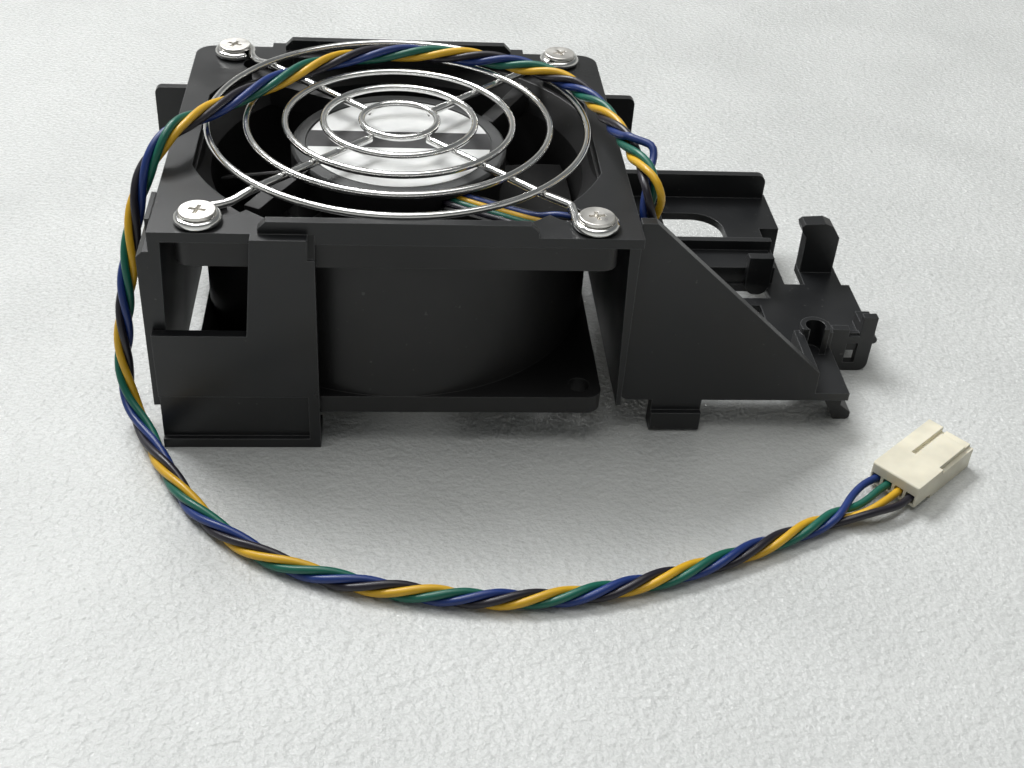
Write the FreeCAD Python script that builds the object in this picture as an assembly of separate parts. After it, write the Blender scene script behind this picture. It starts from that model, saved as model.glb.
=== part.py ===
import FreeCAD, Part
import math
import os

from FreeCAD import Vector

# ---------------------------------------------------------------------------
# Server fan module: an 80 x 80 x 38 mm ball-bearing fan screwed under the
# plate of a moulded bracket, with a wire guard on top and a twisted four-core
# lead that ends in a 2.54 mm pitch plug.  Millimetres.
# Frame: origin on the fan's axis at its intake face, +Z along the axis
# towards the guard, +X towards the side tray, +Y towards the back.
# ---------------------------------------------------------------------------

# Fan housing
FAN_SIZE = 80.0            # square flange
FAN_DEPTH = 38.0           # intake face to exhaust face
FAN_HALF = FAN_SIZE / 2
HOLE_INSET = 4.25          # flange holes, in from the edges
FLANGE_HOLE_R = 2.15
PILOT_R = 2.0              # exhaust-side holes, which the guard screws bite into
FLANGE_CORNER_R = 3.0
TOP_FLANGE_T = 4.8
BOTTOM_FLANGE_T = 3.8
BARREL_R_IN = FAN_HALF - 2.4
BARREL_R_OUT = FAN_HALF - 0.1
FLARE = 3.6                # how far the bell mouths open beyond the barrel
FLARE_LAND = 1.2           # flange left outside the bell mouth on the flats

# Motor base, carried by four curved struts on the exhaust side
BASE_R = 21.7
BASE_WALL = 1.5
BASE_TOP_T = 2.0
BASE_DEPTH = 6.2
LABEL_R = BASE_R - 3.3
LABEL_T = 0.2
LABEL_SINK = 0.3
STRUT_W = 3.2
STRUT_H = 5.0
STRUT_SWEEP = 15.0         # degrees that a strut leans between base and barrel
WIRE_D = 1.5               # insulated diameter of one core
CHANNEL_WALL = 0.8
CHANNEL_LIP = 0.9          # height of the channel's low edges
CHANNEL_GAP = 0.15

# Bearings (3 x 8 x 4 mm) and their tube
SHAFT_R = 1.5
BEARING_R = 4.0
BEARING_H = 4.0
TUBE_WALL = 1.2
TUBE_BOTTOM = 8.8
SHOULDER_R = BEARING_R - 0.7
UPPER_BEARING_Z = FAN_DEPTH - 9.0
BALL_R = 0.7
BALL_COUNT = 7
RACE_LAND = 0.85           # radial thickness of a ring's shoulder
BALL_PLAY = 0.02

# Rotor
HUB_R = 20.9
HUB_BOTTOM = 2.6
HUB_TOP = FAN_DEPTH - 7.0
HUB_END_T = 1.7
YOKE_T = 1.0
MAGNET_R_IN = 16.0
MAGNET_BOTTOM = 10.0
MAGNET_TOP = FAN_DEPTH - 10.0
YOKE_TOP = FAN_DEPTH - 8.0
HUB_WALL = 1.8
BOSS_WALL = 1.9
BOSS_H = 2.2
SHAFT_TOP = FAN_DEPTH - 3.0
CLIP_T = 0.5
CLIP_R = 2.9
BLADE_COUNT = 7
TIP_GAP = 0.7
BLADE_T = 1.5
BLADE_BOTTOM = 4.0
BLADE_TOP = FAN_DEPTH - 8.5

# Stator
STACK_BOTTOM = 14.5
STACK_TOP = FAN_DEPTH - 13.5
AIR_GAP = 0.6
POLE_COUNT = 4
POLE_W = 4.6
SHOE_T = 1.6
SHOE_ARC = 76.0            # degrees covered by one pole shoe
CORE_WALL = 2.2
INSULATOR_T = 1.0
INSULATOR_SPREAD = 0.6
WINDING_T = 2.3
BOARD_T = 1.6
BOARD_TOP = FAN_DEPTH - 3.75
BOARD_R = BASE_R - BASE_WALL - 0.3
POST_R = 1.4

# Bracket plate
PLATE_X = FAN_SIZE + 8.6
PLATE_Y = FAN_SIZE
PLATE_T = 2.0
PLATE_REAR_R = 4.0
OPENING_R = FAN_HALF + 2.0
OPENING_X = FAN_HALF - 0.8           # half width between the opening's side flats
OPENING_Y = FAN_HALF - 5.0           # half width between its front and back flats
ROD_NOTCH_W = 5.6
ROD_NOTCH_INSET = 4.16     # end of a rod's notch, short of the screw's centre
SCREW_CLEAR_R = 2.7
LIP_X = 25.0
LIP_T = 1.8
LIP_H = 2.5
LIP_CHAMFER = 1.5

# Bracket walls and front panel
WALL_X = PLATE_X / 2
WALL_T = 2.2
WALL_DRAFT = 1.3           # how much thinner the walls are at their lower edges
WALL_SETBACK = 2.4         # the right wall starts this far behind the plate's front edge
FRONT_GAP = 0.2            # between the fan's faces and the panels
PANEL_T = 2.0
PANEL_X0 = -WALL_X - 0.9
PANEL_X1 = -WALL_X + 29.3
COLUMN_X0 = -WALL_X + 18.0
COLUMN_LEAN = 1.6          # the column is this much wider at the sill than at the top
PANEL_TOP = 19.3           # top of the lower panel, the window's sill
STAND = 7.2                # the feet reach this far below the fan
POCKET_TOP = 5.2
POCKET_DEPTH = 1.1
POCKET_RIM = 2.1
COLUMN_NOTCH = 1.3
COLUMN_NOTCH_H = 4.1
COLUMN_NOTCH_LAND = 0.7    # level bottom of the notch, in front of its ramp
SHELF_D = 6.0
SHELF_T = 1.8
DRIVER_R = 4.0             # bite in the shelf under the fan's front left hole
RAIL_X = 2.3
RAIL_L = 18.0
RAIL_LOW = 1.6
RAIL_TOP = FAN_DEPTH - 2.0
RIB_OUT = 0.9
RIB_START = 4.3
RIB_L = 9.7
TAB_OUT = 9.9              # how far the rear ears stand out of the walls
TAB_Y = FAN_HALF - 3.7
TAB_T = 1.8
TAB_LOW = 19.5
TAB_H = 11.9
STAY_X0 = 14.0
STAY_X1 = 28.0
STAY_BAR_TOP = 9.0

# Side tray: distances in X are from the cradle's right face
GUSSET_Y = -FAN_HALF + 4.3
GUSSET_T = 2.2
GUSSET_RISE = 0.8          # its top stands this far above the plate
GUSSET_TOP = 2.9
GUSSET_L = 40.1
GUSSET_HEEL = 6.8
DECK_T = 1.8
DECK_L = 58.1
DECK_Y = 4.9
ARM_L = 47.3
ARM_Y = -15.7
SHELF_Z = 4.2              # underside of the raised rear deck
SHELF_L = 44.9
SHELF_BACK = FAN_HALF - 1.9
BACK_WALL_TOP = 12.2
WINDOW_X0 = 5.7
WINDOW_X1 = 31.7
WINDOW_Y0 = 15.6
WINDOW_Y1 = 28.6
WINDOW_R = 7.0
RIB_Y = 12.3
RIB_T = 1.6
RIB_TOP = 8.4
SLOT_X0 = 13.7
SLOT_X1 = 38.5
SLOT_Y0 = -1.1
SLOT_Y1 = 4.3
WELL_X1 = 35.6
WELL_Y0 = -22.0
WELL_Y1 = -4.0
LEG_FRAME_X0 = 48.7
LEG_FRAME_TOP = 6.7
LEG_SLOT_X0 = 52.5
LEG_SLOT_X1 = 55.0
LEG_T = 1.8
LEG_BAR_TOP = -5.0
LEG_WEB_LOW = -2.2

# Lead gland, wire guard and screws
LEAD_D = 3.7
LEAD_PLAY = 0.12
GLAND_HALF = 2.6
GLAND_X = WALL_X + GLAND_HALF
GLAND_Y = GUSSET_Y + GUSSET_T + 4.5
GLAND_TOP = FAN_DEPTH - 0.5
GLAND_LOW = FAN_DEPTH - 5.2
ROD_R = 0.8
RING_R = 0.7
RING_COUNT = 5
RING_PITCH = (BARREL_R_IN + 0.1) / RING_COUNT
WELD = 0.3                 # how deep a ring sinks into a rod
LOOP_R = 3.55
LOOP_ARC = 318.0
ROD_BEND_R = 4.0           # the bend between a rod's straight and its loop
ROD_STRAIGHT = FAN_HALF
ROD_LIFT = 0.7
SCREW_R = PILOT_R + 0.05
SCREW_LEN = 8.0
HEAD_R = 3.6
HEAD_H = 1.5
HEAD_EDGE = 0.5
DRIVE_W = 0.9
DRIVE_L = 3.8
DRIVE_D = 1.0

# Plug
PIN_PITCH = 2.54
PIN_COUNT = 4
PLUG_W = PIN_PITCH * PIN_COUNT + 0.34
PLUG_L = 20.5
PLUG_H = 5.8
PLUG_NECK = 4.8            # height of the wire end, which is stepped up underneath
PLUG_NECK_L = 6.0
PLUG_GROOVE = 1.1
PLUG_GROOVE_W = 0.9
PLUG_RAIL = 3.3
CAVITY = 1.9
CAVITY_Z = 2.6
CRIMP_W = 1.5
CRIMP_L = 9.0
PLUG_X = FAN_HALF * 2.39   # middle of the wire face
PLUG_Y = FAN_HALF * -1.43
PLUG_YAW = 40.5

# Derived places
HOLE_AT = FAN_HALF - HOLE_INSET
HOLE_DIAGONAL = HOLE_AT * math.sqrt(2)
PLATE_TOP = FAN_DEPTH + PLATE_T
FRONT_Y = -FAN_HALF - FRONT_GAP
TUBE_R = BEARING_R + TUBE_WALL
CHANNEL_FLOOR = BOARD_TOP
GLAND_FLOOR = CHANNEL_FLOOR + 0.05
CHANNEL_W = 4 * WIRE_D + 2 * CHANNEL_GAP
BUNCH_W = 2 * WIRE_D + 6 * CHANNEL_GAP
BASE_UNDER = FAN_DEPTH - BASE_TOP_T
STRUT_Z = FAN_DEPTH - STRUT_H
YOKE_R = HUB_R - HUB_WALL
MAGNET_R = YOKE_R - YOKE_T
HUB_INNER = HUB_BOTTOM + HUB_END_T
BLADE_ROOT_R = HUB_R - 0.9
BLADE_TIP_R = BARREL_R_IN - TIP_GAP
BOSS_R = SHAFT_R + BOSS_WALL
POLE_R = MAGNET_R_IN - AIR_GAP
CORE_RING_R = TUBE_R + CORE_WALL
CORNERS = [(1, 1), (-1, 1), (-1, -1), (1, -1)]


def box(x0, x1, y0, y1, z0, z1):
    return Part.makeBox(x1 - x0, y1 - y0, z1 - z0, Vector(x0, y0, z0))


def rod(x, y, z0, z1, radius):
    return Part.makeCylinder(radius, z1 - z0, Vector(x, y, z0))


def tube(x, y, z0, z1, outer, inner):
    return rod(x, y, z0, z1, outer).cut(rod(x, y, z0 - 1, z1 + 1, inner))


def fuse(shapes):
    solid = shapes[0].multiFuse(shapes[1:])
    return solid.removeSplitter()


def turned(shape, degrees, centre=Vector(0, 0, 0)):
    copy = shape.copy()
    copy.rotate(centre, Vector(0, 0, 1), degrees)
    return copy


def straight_core(a, b, radius):
    return Part.makeCylinder(radius, (b - a).Length, a, b - a)


def flat_prism(points, direction):
    """Solid swept along direction from a closed outline of corner points."""
    outline = Part.makePolygon(points + [points[0]])
    return Part.Face(outline).extrude(direction)


def plan_prism(corners, z0, z1):
    return flat_prism([Vector(x, y, z0) for x, y in corners], Vector(0, 0, z1 - z0))


def front_prism(corners, y0, y1):
    """Solid from an outline in X and Z, between two depths in Y."""
    return flat_prism([Vector(x, y0, z) for x, z in corners], Vector(0, y1 - y0, 0))


def side_prism(corners, x0, x1):
    """Solid from an outline in Y and Z, between two places in X."""
    return flat_prism([Vector(x0, y, z) for y, z in corners], Vector(x1 - x0, 0, 0))


def revolved(profile):
    """Solid of revolution about Z from (radius, height) corner points."""
    points = [Vector(r, 0, z) for r, z in profile]
    face = Part.Face(Part.makePolygon(points + [points[0]]))
    return face.revolve(Vector(0, 0, 0), Vector(0, 0, 1), 360)


def edges_at(shape, x=None, y=None, z=None, along=None):
    """Straight edges lying in the given planes and along the given axis."""
    found = []
    for edge in shape.Edges:
        if len(edge.Vertexes) < 2:
            continue
        a, b = edge.Vertexes[0].Point, edge.Vertexes[-1].Point
        span = [abs(b.x - a.x), abs(b.y - a.y), abs(b.z - a.z)]
        if along is not None and span[along] < 0.98 * (b - a).Length:
            continue
        places = [(x, 0), (y, 1), (z, 2)]
        if all(v is None or (abs(a[i] - v) < 1e-4 and abs(b[i] - v) < 1e-4) for v, i in places):
            found.append(edge)
    return found


def rounded_path(points):
    """Straight runs joined by arcs that touch both; returns the wire and the radii."""
    edges = []
    radii = []
    last = points[0]
    for before, corner, after in zip(points, points[1:], points[2:]):
        back = before - corner
        ahead = after - corner
        half_turn = (math.pi - back.getAngle(ahead)) / 2
        if half_turn < 1e-4:
            continue
        reach = 0.45 * min(back.Length, ahead.Length)
        radii.append(reach / math.tan(half_turn))
        a = corner + back * (reach / back.Length)
        b = corner + ahead * (reach / ahead.Length)
        inward = (back * (1 / back.Length) + ahead * (1 / ahead.Length)).normalize()
        middle = corner + inward * (radii[-1] / math.cos(half_turn) - radii[-1])
        edges.append(Part.LineSegment(last, a).toShape())
        edges.append(Part.Arc(a, middle, b).toShape())
        last = b
    edges.append(Part.LineSegment(last, points[-1]).toShape())
    return Part.Wire(edges), radii


# ------------------------------------------------------------------ fan housing

def strut_path(quarter):
    """Centre line of one strut: out from the motor base to a corner of the barrel."""
    outer = math.radians(45 + 90 * quarter)
    inner = outer - math.radians(STRUT_SWEEP)
    middle = (outer + inner) / 2 + math.radians(2.2)
    radii = [BASE_R - 0.8, (BASE_R + BARREL_R_IN) / 2, BARREL_R_IN + 0.8]
    angles = [inner, middle, outer]
    return [Vector(r * math.cos(a), r * math.sin(a), 0) for r, a in zip(radii, angles)]


def curved_bar(path, width, z0, z1):
    """Bar of constant width that follows an arc through three points."""
    circle = Part.Circle(*path)
    centre = circle.Center
    sides = []
    for offset in (-width / 2, width / 2):
        points = [centre + (p - centre) * ((circle.Radius + offset) / circle.Radius) for p in path]
        sides.append(points)
    near, far = sides
    edges = [
        Part.Arc(*near).toShape(),
        Part.LineSegment(near[2], far[2]).toShape(),
        Part.Arc(*far[::-1]).toShape(),
        Part.LineSegment(far[0], near[0]).toShape(),
    ]
    face = Part.Face(Part.Wire(edges))
    face.translate(Vector(0, 0, z0))
    return face.extrude(Vector(0, 0, z1 - z0))


def flange(z0, z1):
    plate = box(-FAN_HALF, FAN_HALF, -FAN_HALF, FAN_HALF, z0, z1)
    return plate.makeFillet(FLANGE_CORNER_R, edges_at(plate, along=2))


def bell_mouth(z_throat, z_face):
    """The flared opening of a flange, trimmed square so that it widens in the corners."""
    throat = min(z_throat, z_face)
    height = abs(z_face - z_throat)
    wide = BARREL_R_IN + FLARE
    if z_face > z_throat:
        cone = Part.makeCone(BARREL_R_IN, wide, height, Vector(0, 0, throat))
    else:
        cone = Part.makeCone(wide, BARREL_R_IN, height, Vector(0, 0, throat))
    half = FAN_HALF - FLARE_LAND
    return cone.common(box(-half, half, -half, half, throat - 1, throat + height + 1))


def wire_channel_run():
    """The straight part of the wires' way, from the strut's end through the flange."""
    start = strut_path(3)[2]
    return start, Vector(GLAND_X, GLAND_Y, 0)


def straight_bar(start, end, width, z0, z1):
    along = end - start
    side = Vector(-along.y, along.x, 0).normalize() * (width / 2)
    corners = [start - side, end - side, end + side, start + side]
    return plan_prism([(p.x, p.y) for p in corners], z0, z1)


def wire_space(width, z0, z1):
    """Room for the captive wires: along the lower right strut and out to the gland."""
    path = strut_path(3)
    inward = (path[0] * (1 / path[0].Length)) * (BASE_R - 6.2)
    start, end = wire_channel_run()
    return [
        straight_bar(inward, path[0], width, z0, z1),
        curved_bar(path, width, z0, z1),
        straight_bar(start, end, width, z0, z1),
        rod(start.x, start.y, z0, z1, width / 2),
        rod(path[0].x, path[0].y, z0, z1, width / 2),
    ]


def fan_frame():
    """Both flanges and the barrel, with bell mouths, flange holes and the wires' groove."""
    barrel = rod(0, 0, 0, FAN_DEPTH, BARREL_R_OUT)
    body = fuse([flange(0, BOTTOM_FLANGE_T), flange(FAN_DEPTH - TOP_FLANGE_T, FAN_DEPTH), barrel])
    body = body.cut(rod(0, 0, -1, FAN_DEPTH + 1, BARREL_R_IN))
    body = body.cut(bell_mouth(BOTTOM_FLANGE_T, 0))
    body = body.cut(bell_mouth(FAN_DEPTH - TOP_FLANGE_T, FAN_DEPTH))
    middle = FAN_DEPTH / 2
    for sx, sy in CORNERS:
        body = body.cut(rod(sx * HOLE_AT, sy * HOLE_AT, -1, middle, FLANGE_HOLE_R))
        body = body.cut(rod(sx * HOLE_AT, sy * HOLE_AT, middle, FAN_DEPTH + 1, PILOT_R))
    space = fuse(wire_space(CHANNEL_W, CHANNEL_FLOOR, FAN_DEPTH + 1))
    return body.cut(space)


def motor_base():
    """Motor base with its rim, bearing tube and posts, on the four struts."""
    base = revolved([
        (BEARING_R, BASE_UNDER),
        (BASE_R - BASE_WALL, BASE_UNDER),
        (BASE_R - BASE_WALL, FAN_DEPTH - BASE_DEPTH),
        (BASE_R, FAN_DEPTH - BASE_DEPTH),
        (BASE_R, FAN_DEPTH - 0.6),
        (BASE_R - 0.6, FAN_DEPTH),
        (LABEL_R + 0.4, FAN_DEPTH),
        (LABEL_R + 0.4, FAN_DEPTH - LABEL_SINK),
        (BEARING_R, FAN_DEPTH - LABEL_SINK),
    ])
    bearing_tube = revolved([
        (BEARING_R, TUBE_BOTTOM),
        (TUBE_R, TUBE_BOTTOM),
        (TUBE_R, BASE_UNDER + 0.5),
        (BEARING_R, BASE_UNDER + 0.5),
        (BEARING_R, UPPER_BEARING_Z),
        (SHOULDER_R, UPPER_BEARING_Z),
        (SHOULDER_R, TUBE_BOTTOM + BEARING_H),
        (BEARING_R, TUBE_BOTTOM + BEARING_H),
    ])
    post_r = BOARD_R * 0.7
    post = rod(post_r, 0, BOARD_TOP, BASE_UNDER + 0.5, POST_R)
    posts = [turned(post, 45 + 90 * i) for i in range(4)]
    struts = [curved_bar(strut_path(q), STRUT_W, STRUT_Z, FAN_DEPTH) for q in range(3)]
    rim = CHANNEL_FLOOR + CHANNEL_LIP
    channel = curved_bar(strut_path(3), CHANNEL_W + 2 * CHANNEL_WALL, STRUT_Z, rim)
    channel = channel.cut(rod(0, 0, STRUT_Z - 1, FAN_DEPTH, BASE_R - BASE_WALL))
    body = fuse([base, bearing_tube, channel] + posts + struts)
    space = fuse(wire_space(CHANNEL_W, CHANNEL_FLOOR, BASE_UNDER))
    return body.cut(space).cut(fan_frame())


def motor_label():
    z0 = FAN_DEPTH - LABEL_SINK
    return rod(0, 0, z0, z0 + LABEL_T, LABEL_R)


# ------------------------------------------------------------------ rotor

def blade_section(radius, chord_turn, height_low, height_high, bulge, thickness):
    """Cambered section of a blade, drawn on the plane x = radius."""
    width = chord_turn
    low = Vector(radius, -width / 2, height_low)
    high = Vector(radius, width / 2, height_high)
    middle = (low + high) * 0.5
    chord = high - low
    normal = Vector(0, -chord.z, chord.y).normalize()
    belly = middle + normal * bulge
    half = normal * (thickness / 2)
    under = Part.Arc(low - half * 0.6, belly - half, high - half * 0.45).toShape()
    over = Part.Arc(high + half * 0.45, belly + half, low + half * 0.6).toShape()
    nose = Part.LineSegment(low + half * 0.6, low - half * 0.6).toShape()
    tail = Part.LineSegment(high - half * 0.45, high + half * 0.45).toShape()
    return Part.Wire([under, tail, over, nose])


def blade():
    span = BLADE_TIP_R - BLADE_ROOT_R
    root = blade_section(BLADE_ROOT_R - 2, 11.0, BLADE_BOTTOM, BLADE_TOP, 2.6, BLADE_T * 1.15)
    middle = blade_section(BLADE_ROOT_R + span / 2, 20.0, BLADE_BOTTOM + 1.5, BLADE_TOP - 1.5, 3.0, BLADE_T)
    tip = blade_section(BLADE_TIP_R + 2, 28.0, BLADE_BOTTOM + 4, BLADE_TOP - 4, 3.0, BLADE_T * 0.8)
    solid = Part.makeLoft([root, middle, tip], True)
    sleeve = tube(0, 0, 0, FAN_DEPTH, BLADE_TIP_R, HUB_R - HUB_WALL / 2)
    return solid.common(sleeve)


def impeller():
    wall_in = HUB_R - HUB_WALL
    cup = revolved([
        (SHAFT_R + 2.2, HUB_BOTTOM),
        (HUB_R - 2.4, HUB_BOTTOM),
        (HUB_R - 0.7, HUB_BOTTOM + 0.7),
        (HUB_R, HUB_BOTTOM + 2.4),
        (HUB_R, HUB_TOP),
        (wall_in, HUB_TOP),
        (wall_in, HUB_INNER),
        (SHAFT_R + 2.2, HUB_INNER),
    ])
    vane = blade()
    blades = [turned(vane, 360.0 / BLADE_COUNT * i) for i in range(BLADE_COUNT)]
    return fuse([cup] + blades)


def rotor_yoke():
    return revolved([
        (BOSS_R, HUB_INNER),
        (YOKE_R, HUB_INNER),
        (YOKE_R, YOKE_TOP),
        (YOKE_R - YOKE_T, YOKE_TOP),
        (YOKE_R - YOKE_T, HUB_INNER + YOKE_T),
        (BOSS_R, HUB_INNER + YOKE_T),
    ])


def magnet_ring():
    return tube(0, 0, MAGNET_BOTTOM, MAGNET_TOP, MAGNET_R, MAGNET_R_IN)


def shaft_boss():
    """Brass bush staked into the yoke's end plate; the shaft is pressed into it."""
    top = HUB_INNER + YOKE_T + BOSS_H
    return revolved([
        (SHAFT_R, HUB_INNER - 0.6),
        (BOSS_R, HUB_INNER - 0.6),
        (BOSS_R, HUB_INNER + YOKE_T),
        (BOSS_R + 0.5, HUB_INNER + YOKE_T),
        (BOSS_R + 0.5, HUB_INNER + YOKE_T + 0.7),
        (BOSS_R - 0.8, top),
        (SHAFT_R, top),
    ])


def shaft():
    chamfer = 0.3
    low = HUB_INNER - 0.6
    groove = UPPER_BEARING_Z + BEARING_H
    return revolved([
        (0, low),
        (SHAFT_R, low),
        (SHAFT_R, groove),
        (SHAFT_R - 0.3, groove),
        (SHAFT_R - 0.3, groove + CLIP_T),
        (SHAFT_R, groove + CLIP_T),
        (SHAFT_R, SHAFT_TOP - chamfer),
        (SHAFT_R - chamfer, SHAFT_TOP),
        (0, SHAFT_TOP),
    ])


def retaining_clip():
    z0 = UPPER_BEARING_Z + BEARING_H
    ring = tube(0, 0, z0, z0 + CLIP_T, CLIP_R, SHAFT_R - 0.3)
    return ring.cut(box(0, CLIP_R + 1, -0.6, 0.6, z0 - 1, z0 + CLIP_T + 1))


def preload_spring():
    """Conical preload spring, drawn as the washer-shaped stack that it is when closed."""
    z0 = HUB_INNER + YOKE_T + BOSS_H
    return revolved([
        (SHAFT_R + 0.1, TUBE_BOTTOM),
        (SHAFT_R + 0.75, TUBE_BOTTOM),
        (SHAFT_R + 1.1, z0),
        (SHAFT_R + 0.45, z0),
    ])


def bearing_rings(z0):
    """Outer and inner ring of one deep-groove bearing, with the ball track turned in both."""
    middle = z0 + BEARING_H / 2
    track_r = (SHAFT_R + BEARING_R) / 2
    track = Part.makeTorus(track_r, BALL_R + BALL_PLAY, Vector(0, 0, middle))
    outer = tube(0, 0, z0, z0 + BEARING_H, BEARING_R, BEARING_R - RACE_LAND).cut(track)
    inner = tube(0, 0, z0, z0 + BEARING_H, SHAFT_R + RACE_LAND, SHAFT_R).cut(track)
    return outer, inner


def ball_train(z0):
    """The balls of one bearing and the thin cage that spaces them."""
    middle = z0 + BEARING_H / 2
    track_r = (SHAFT_R + BEARING_R) / 2
    cage = tube(0, 0, middle - 0.9, middle + 0.9, track_r + 0.16, track_r - 0.16)
    ball = Part.makeSphere(BALL_R, Vector(track_r, 0, middle))
    balls = [turned(ball, 360.0 / BALL_COUNT * i) for i in range(BALL_COUNT)]
    return fuse([cage] + balls)


# ------------------------------------------------------------------ stator

def pole_outline(grow, z0, z1):
    """Four T-shaped poles round a ring, as laminations are stamped."""
    ring = tube(0, 0, z0, z1, CORE_RING_R + grow, TUBE_R)
    shoe_ring = tube(0, 0, z0, z1, POLE_R, POLE_R - SHOE_T)
    half = math.radians(SHOE_ARC / 2)
    reach = 2 * POLE_R
    wedge = plan_prism([(0, 0), (reach, -reach * math.tan(half)), (reach, reach * math.tan(half))], z0, z1)
    shoe = shoe_ring.common(wedge)
    arm_half = POLE_W / 2 + grow
    arm = box(CORE_RING_R - 1, POLE_R - SHOE_T / 2, -arm_half, arm_half, z0, z1)
    pole = arm.fuse(shoe)
    poles = [turned(pole, 360.0 / POLE_COUNT * i) for i in range(POLE_COUNT)]
    return fuse([ring] + poles)


def stator_core():
    return pole_outline(0, STACK_BOTTOM, STACK_TOP)


def insulator(z_face, direction):
    """Moulded end plate on one face of the core, with a lip behind each shoe."""
    z_end = z_face + direction * INSULATOR_T
    low, high = min(z_face, z_end), max(z_face, z_end)
    return pole_outline(INSULATOR_SPREAD, low, high)


def windings():
    """One coil round each pole, wound over the insulators."""
    z0 = STACK_BOTTOM - INSULATOR_T
    z1 = STACK_TOP + INSULATOR_T
    inner_x = CORE_RING_R + INSULATOR_SPREAD + 0.3
    outer_x = POLE_R - SHOE_T - 1.5
    arm_half = POLE_W / 2 + INSULATOR_SPREAD
    outer_y = arm_half + WINDING_T
    outer = box(inner_x, outer_x, -outer_y, outer_y, z0 - WINDING_T, z1 + WINDING_T)
    outer = outer.makeFillet(WINDING_T * 0.8, edges_at(outer, along=0))
    coil = outer.cut(box(inner_x - 1, outer_x + 1, -arm_half, arm_half, z0, z1))
    reach = 2 * POLE_R
    sector = plan_prism([(0, 0), (reach, -reach * 0.96), (reach, reach * 0.96)], z0 - 5, z1 + 5)
    coil = coil.common(sector)
    return Part.makeCompound([turned(coil, 360.0 / POLE_COUNT * i) for i in range(POLE_COUNT)])


def circuit_board():
    board = tube(0, 0, BOARD_TOP - BOARD_T, BOARD_TOP, BOARD_R, TUBE_R + 0.1)
    return board


def board_parts():
    """Driver chip, position sensor, capacitor and diode, soldered under the board."""
    top = BOARD_TOP - BOARD_T
    middle = (BOARD_R + TUBE_R) / 2
    blocks = [
        (4.9, 4.0, 1.5, 0),
        (4.0, 3.0, 1.3, 128),
        (4.2, 2.6, 1.6, 290),
    ]
    parts = []
    for length, width, height, angle in blocks:
        block = box(middle - length / 2, middle + length / 2, -width / 2, width / 2, top - height, top)
        parts.append(turned(block, angle))
    parts.append(turned(rod(middle, 0, top - 1.9, top, 2.4), 215))
    return Part.makeCompound(parts)


def captive_wires():
    """Four cores: side by side along the strut, then two on two out to the gland."""
    path = strut_path(3)
    arc = Part.Arc(*path).toShape()
    inward = (path[0] * (1 / path[0].Length)) * (BASE_R - 5.8)
    start, end = wire_channel_run()
    run = (end - start).normalize()
    stop = end - run * (LEAD_D / 2 + 0.2)
    rise = start + run * (start.distanceToPoint(stop) * 0.3)
    bunch = start + run * (start.distanceToPoint(stop) * 0.6)
    centres = [inward] + arc.discretize(4) + [rise, bunch, stop]
    low = CHANNEL_FLOOR + WIRE_D / 2 + 0.01
    cores = []
    for side in (-1.5, -0.5, 0.5, 1.5):
        inner = math.copysign(0.5, side)
        outer = abs(side) > 1
        sides = [side] * 5 + [side * 0.9 if outer else side, inner, inner]
        heights = [low] * 5 + [low + WIRE_D if outer else low] * 3
        points = shifted(centres, [WIRE_D * x for x in sides], heights)
        path_wire, radii = rounded_path(points)
        circle = Part.makeCircle(WIRE_D / 2 - 0.01, points[0], points[1] - points[0])
        cores.append(path_wire.makePipeShell([Part.Wire(circle)], True, False))
    return Part.makeCompound(cores)


def shifted(points, sides, heights):
    """Level path moved sideways and set at a height, each given for every point."""
    moved = []
    for i, point in enumerate(points):
        before = points[max(i - 1, 0)]
        after = points[min(i + 1, len(points) - 1)]
        heading = (after - before).normalize()
        across = Vector(-heading.y, heading.x, 0) * sides[i]
        moved.append(Vector(point.x + across.x, point.y + across.y, heights[i]))
    return moved


# ------------------------------------------------------------------ bracket

def plate_opening():
    """Round opening with four flats, and a notch in each corner for a guard rod."""
    z0, z1 = FAN_DEPTH - 1, PLATE_TOP + 1
    hole = rod(0, 0, z0, z1, OPENING_R)
    hole = hole.common(box(-OPENING_X, OPENING_X, -OPENING_Y, OPENING_Y, z0, z1))
    half = ROD_NOTCH_W / 2
    end = HOLE_DIAGONAL - ROD_NOTCH_INSET - half
    notch = box(OPENING_R - 12, end, -half, half, z0, z1).fuse(rod(end, 0, z0, z1, half))
    notches = [turned(notch, 45 + 90 * i) for i in range(4)]
    return fuse([hole] + notches)


def lip(front, back):
    corners = [
        (-LIP_X, PLATE_TOP),
        (LIP_X, PLATE_TOP),
        (LIP_X, PLATE_TOP + LIP_H - LIP_CHAMFER),
        (LIP_X - LIP_CHAMFER, PLATE_TOP + LIP_H),
        (LIP_CHAMFER - LIP_X, PLATE_TOP + LIP_H),
        (-LIP_X, PLATE_TOP + LIP_H - LIP_CHAMFER),
    ]
    return front_prism(corners, front, back)


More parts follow.
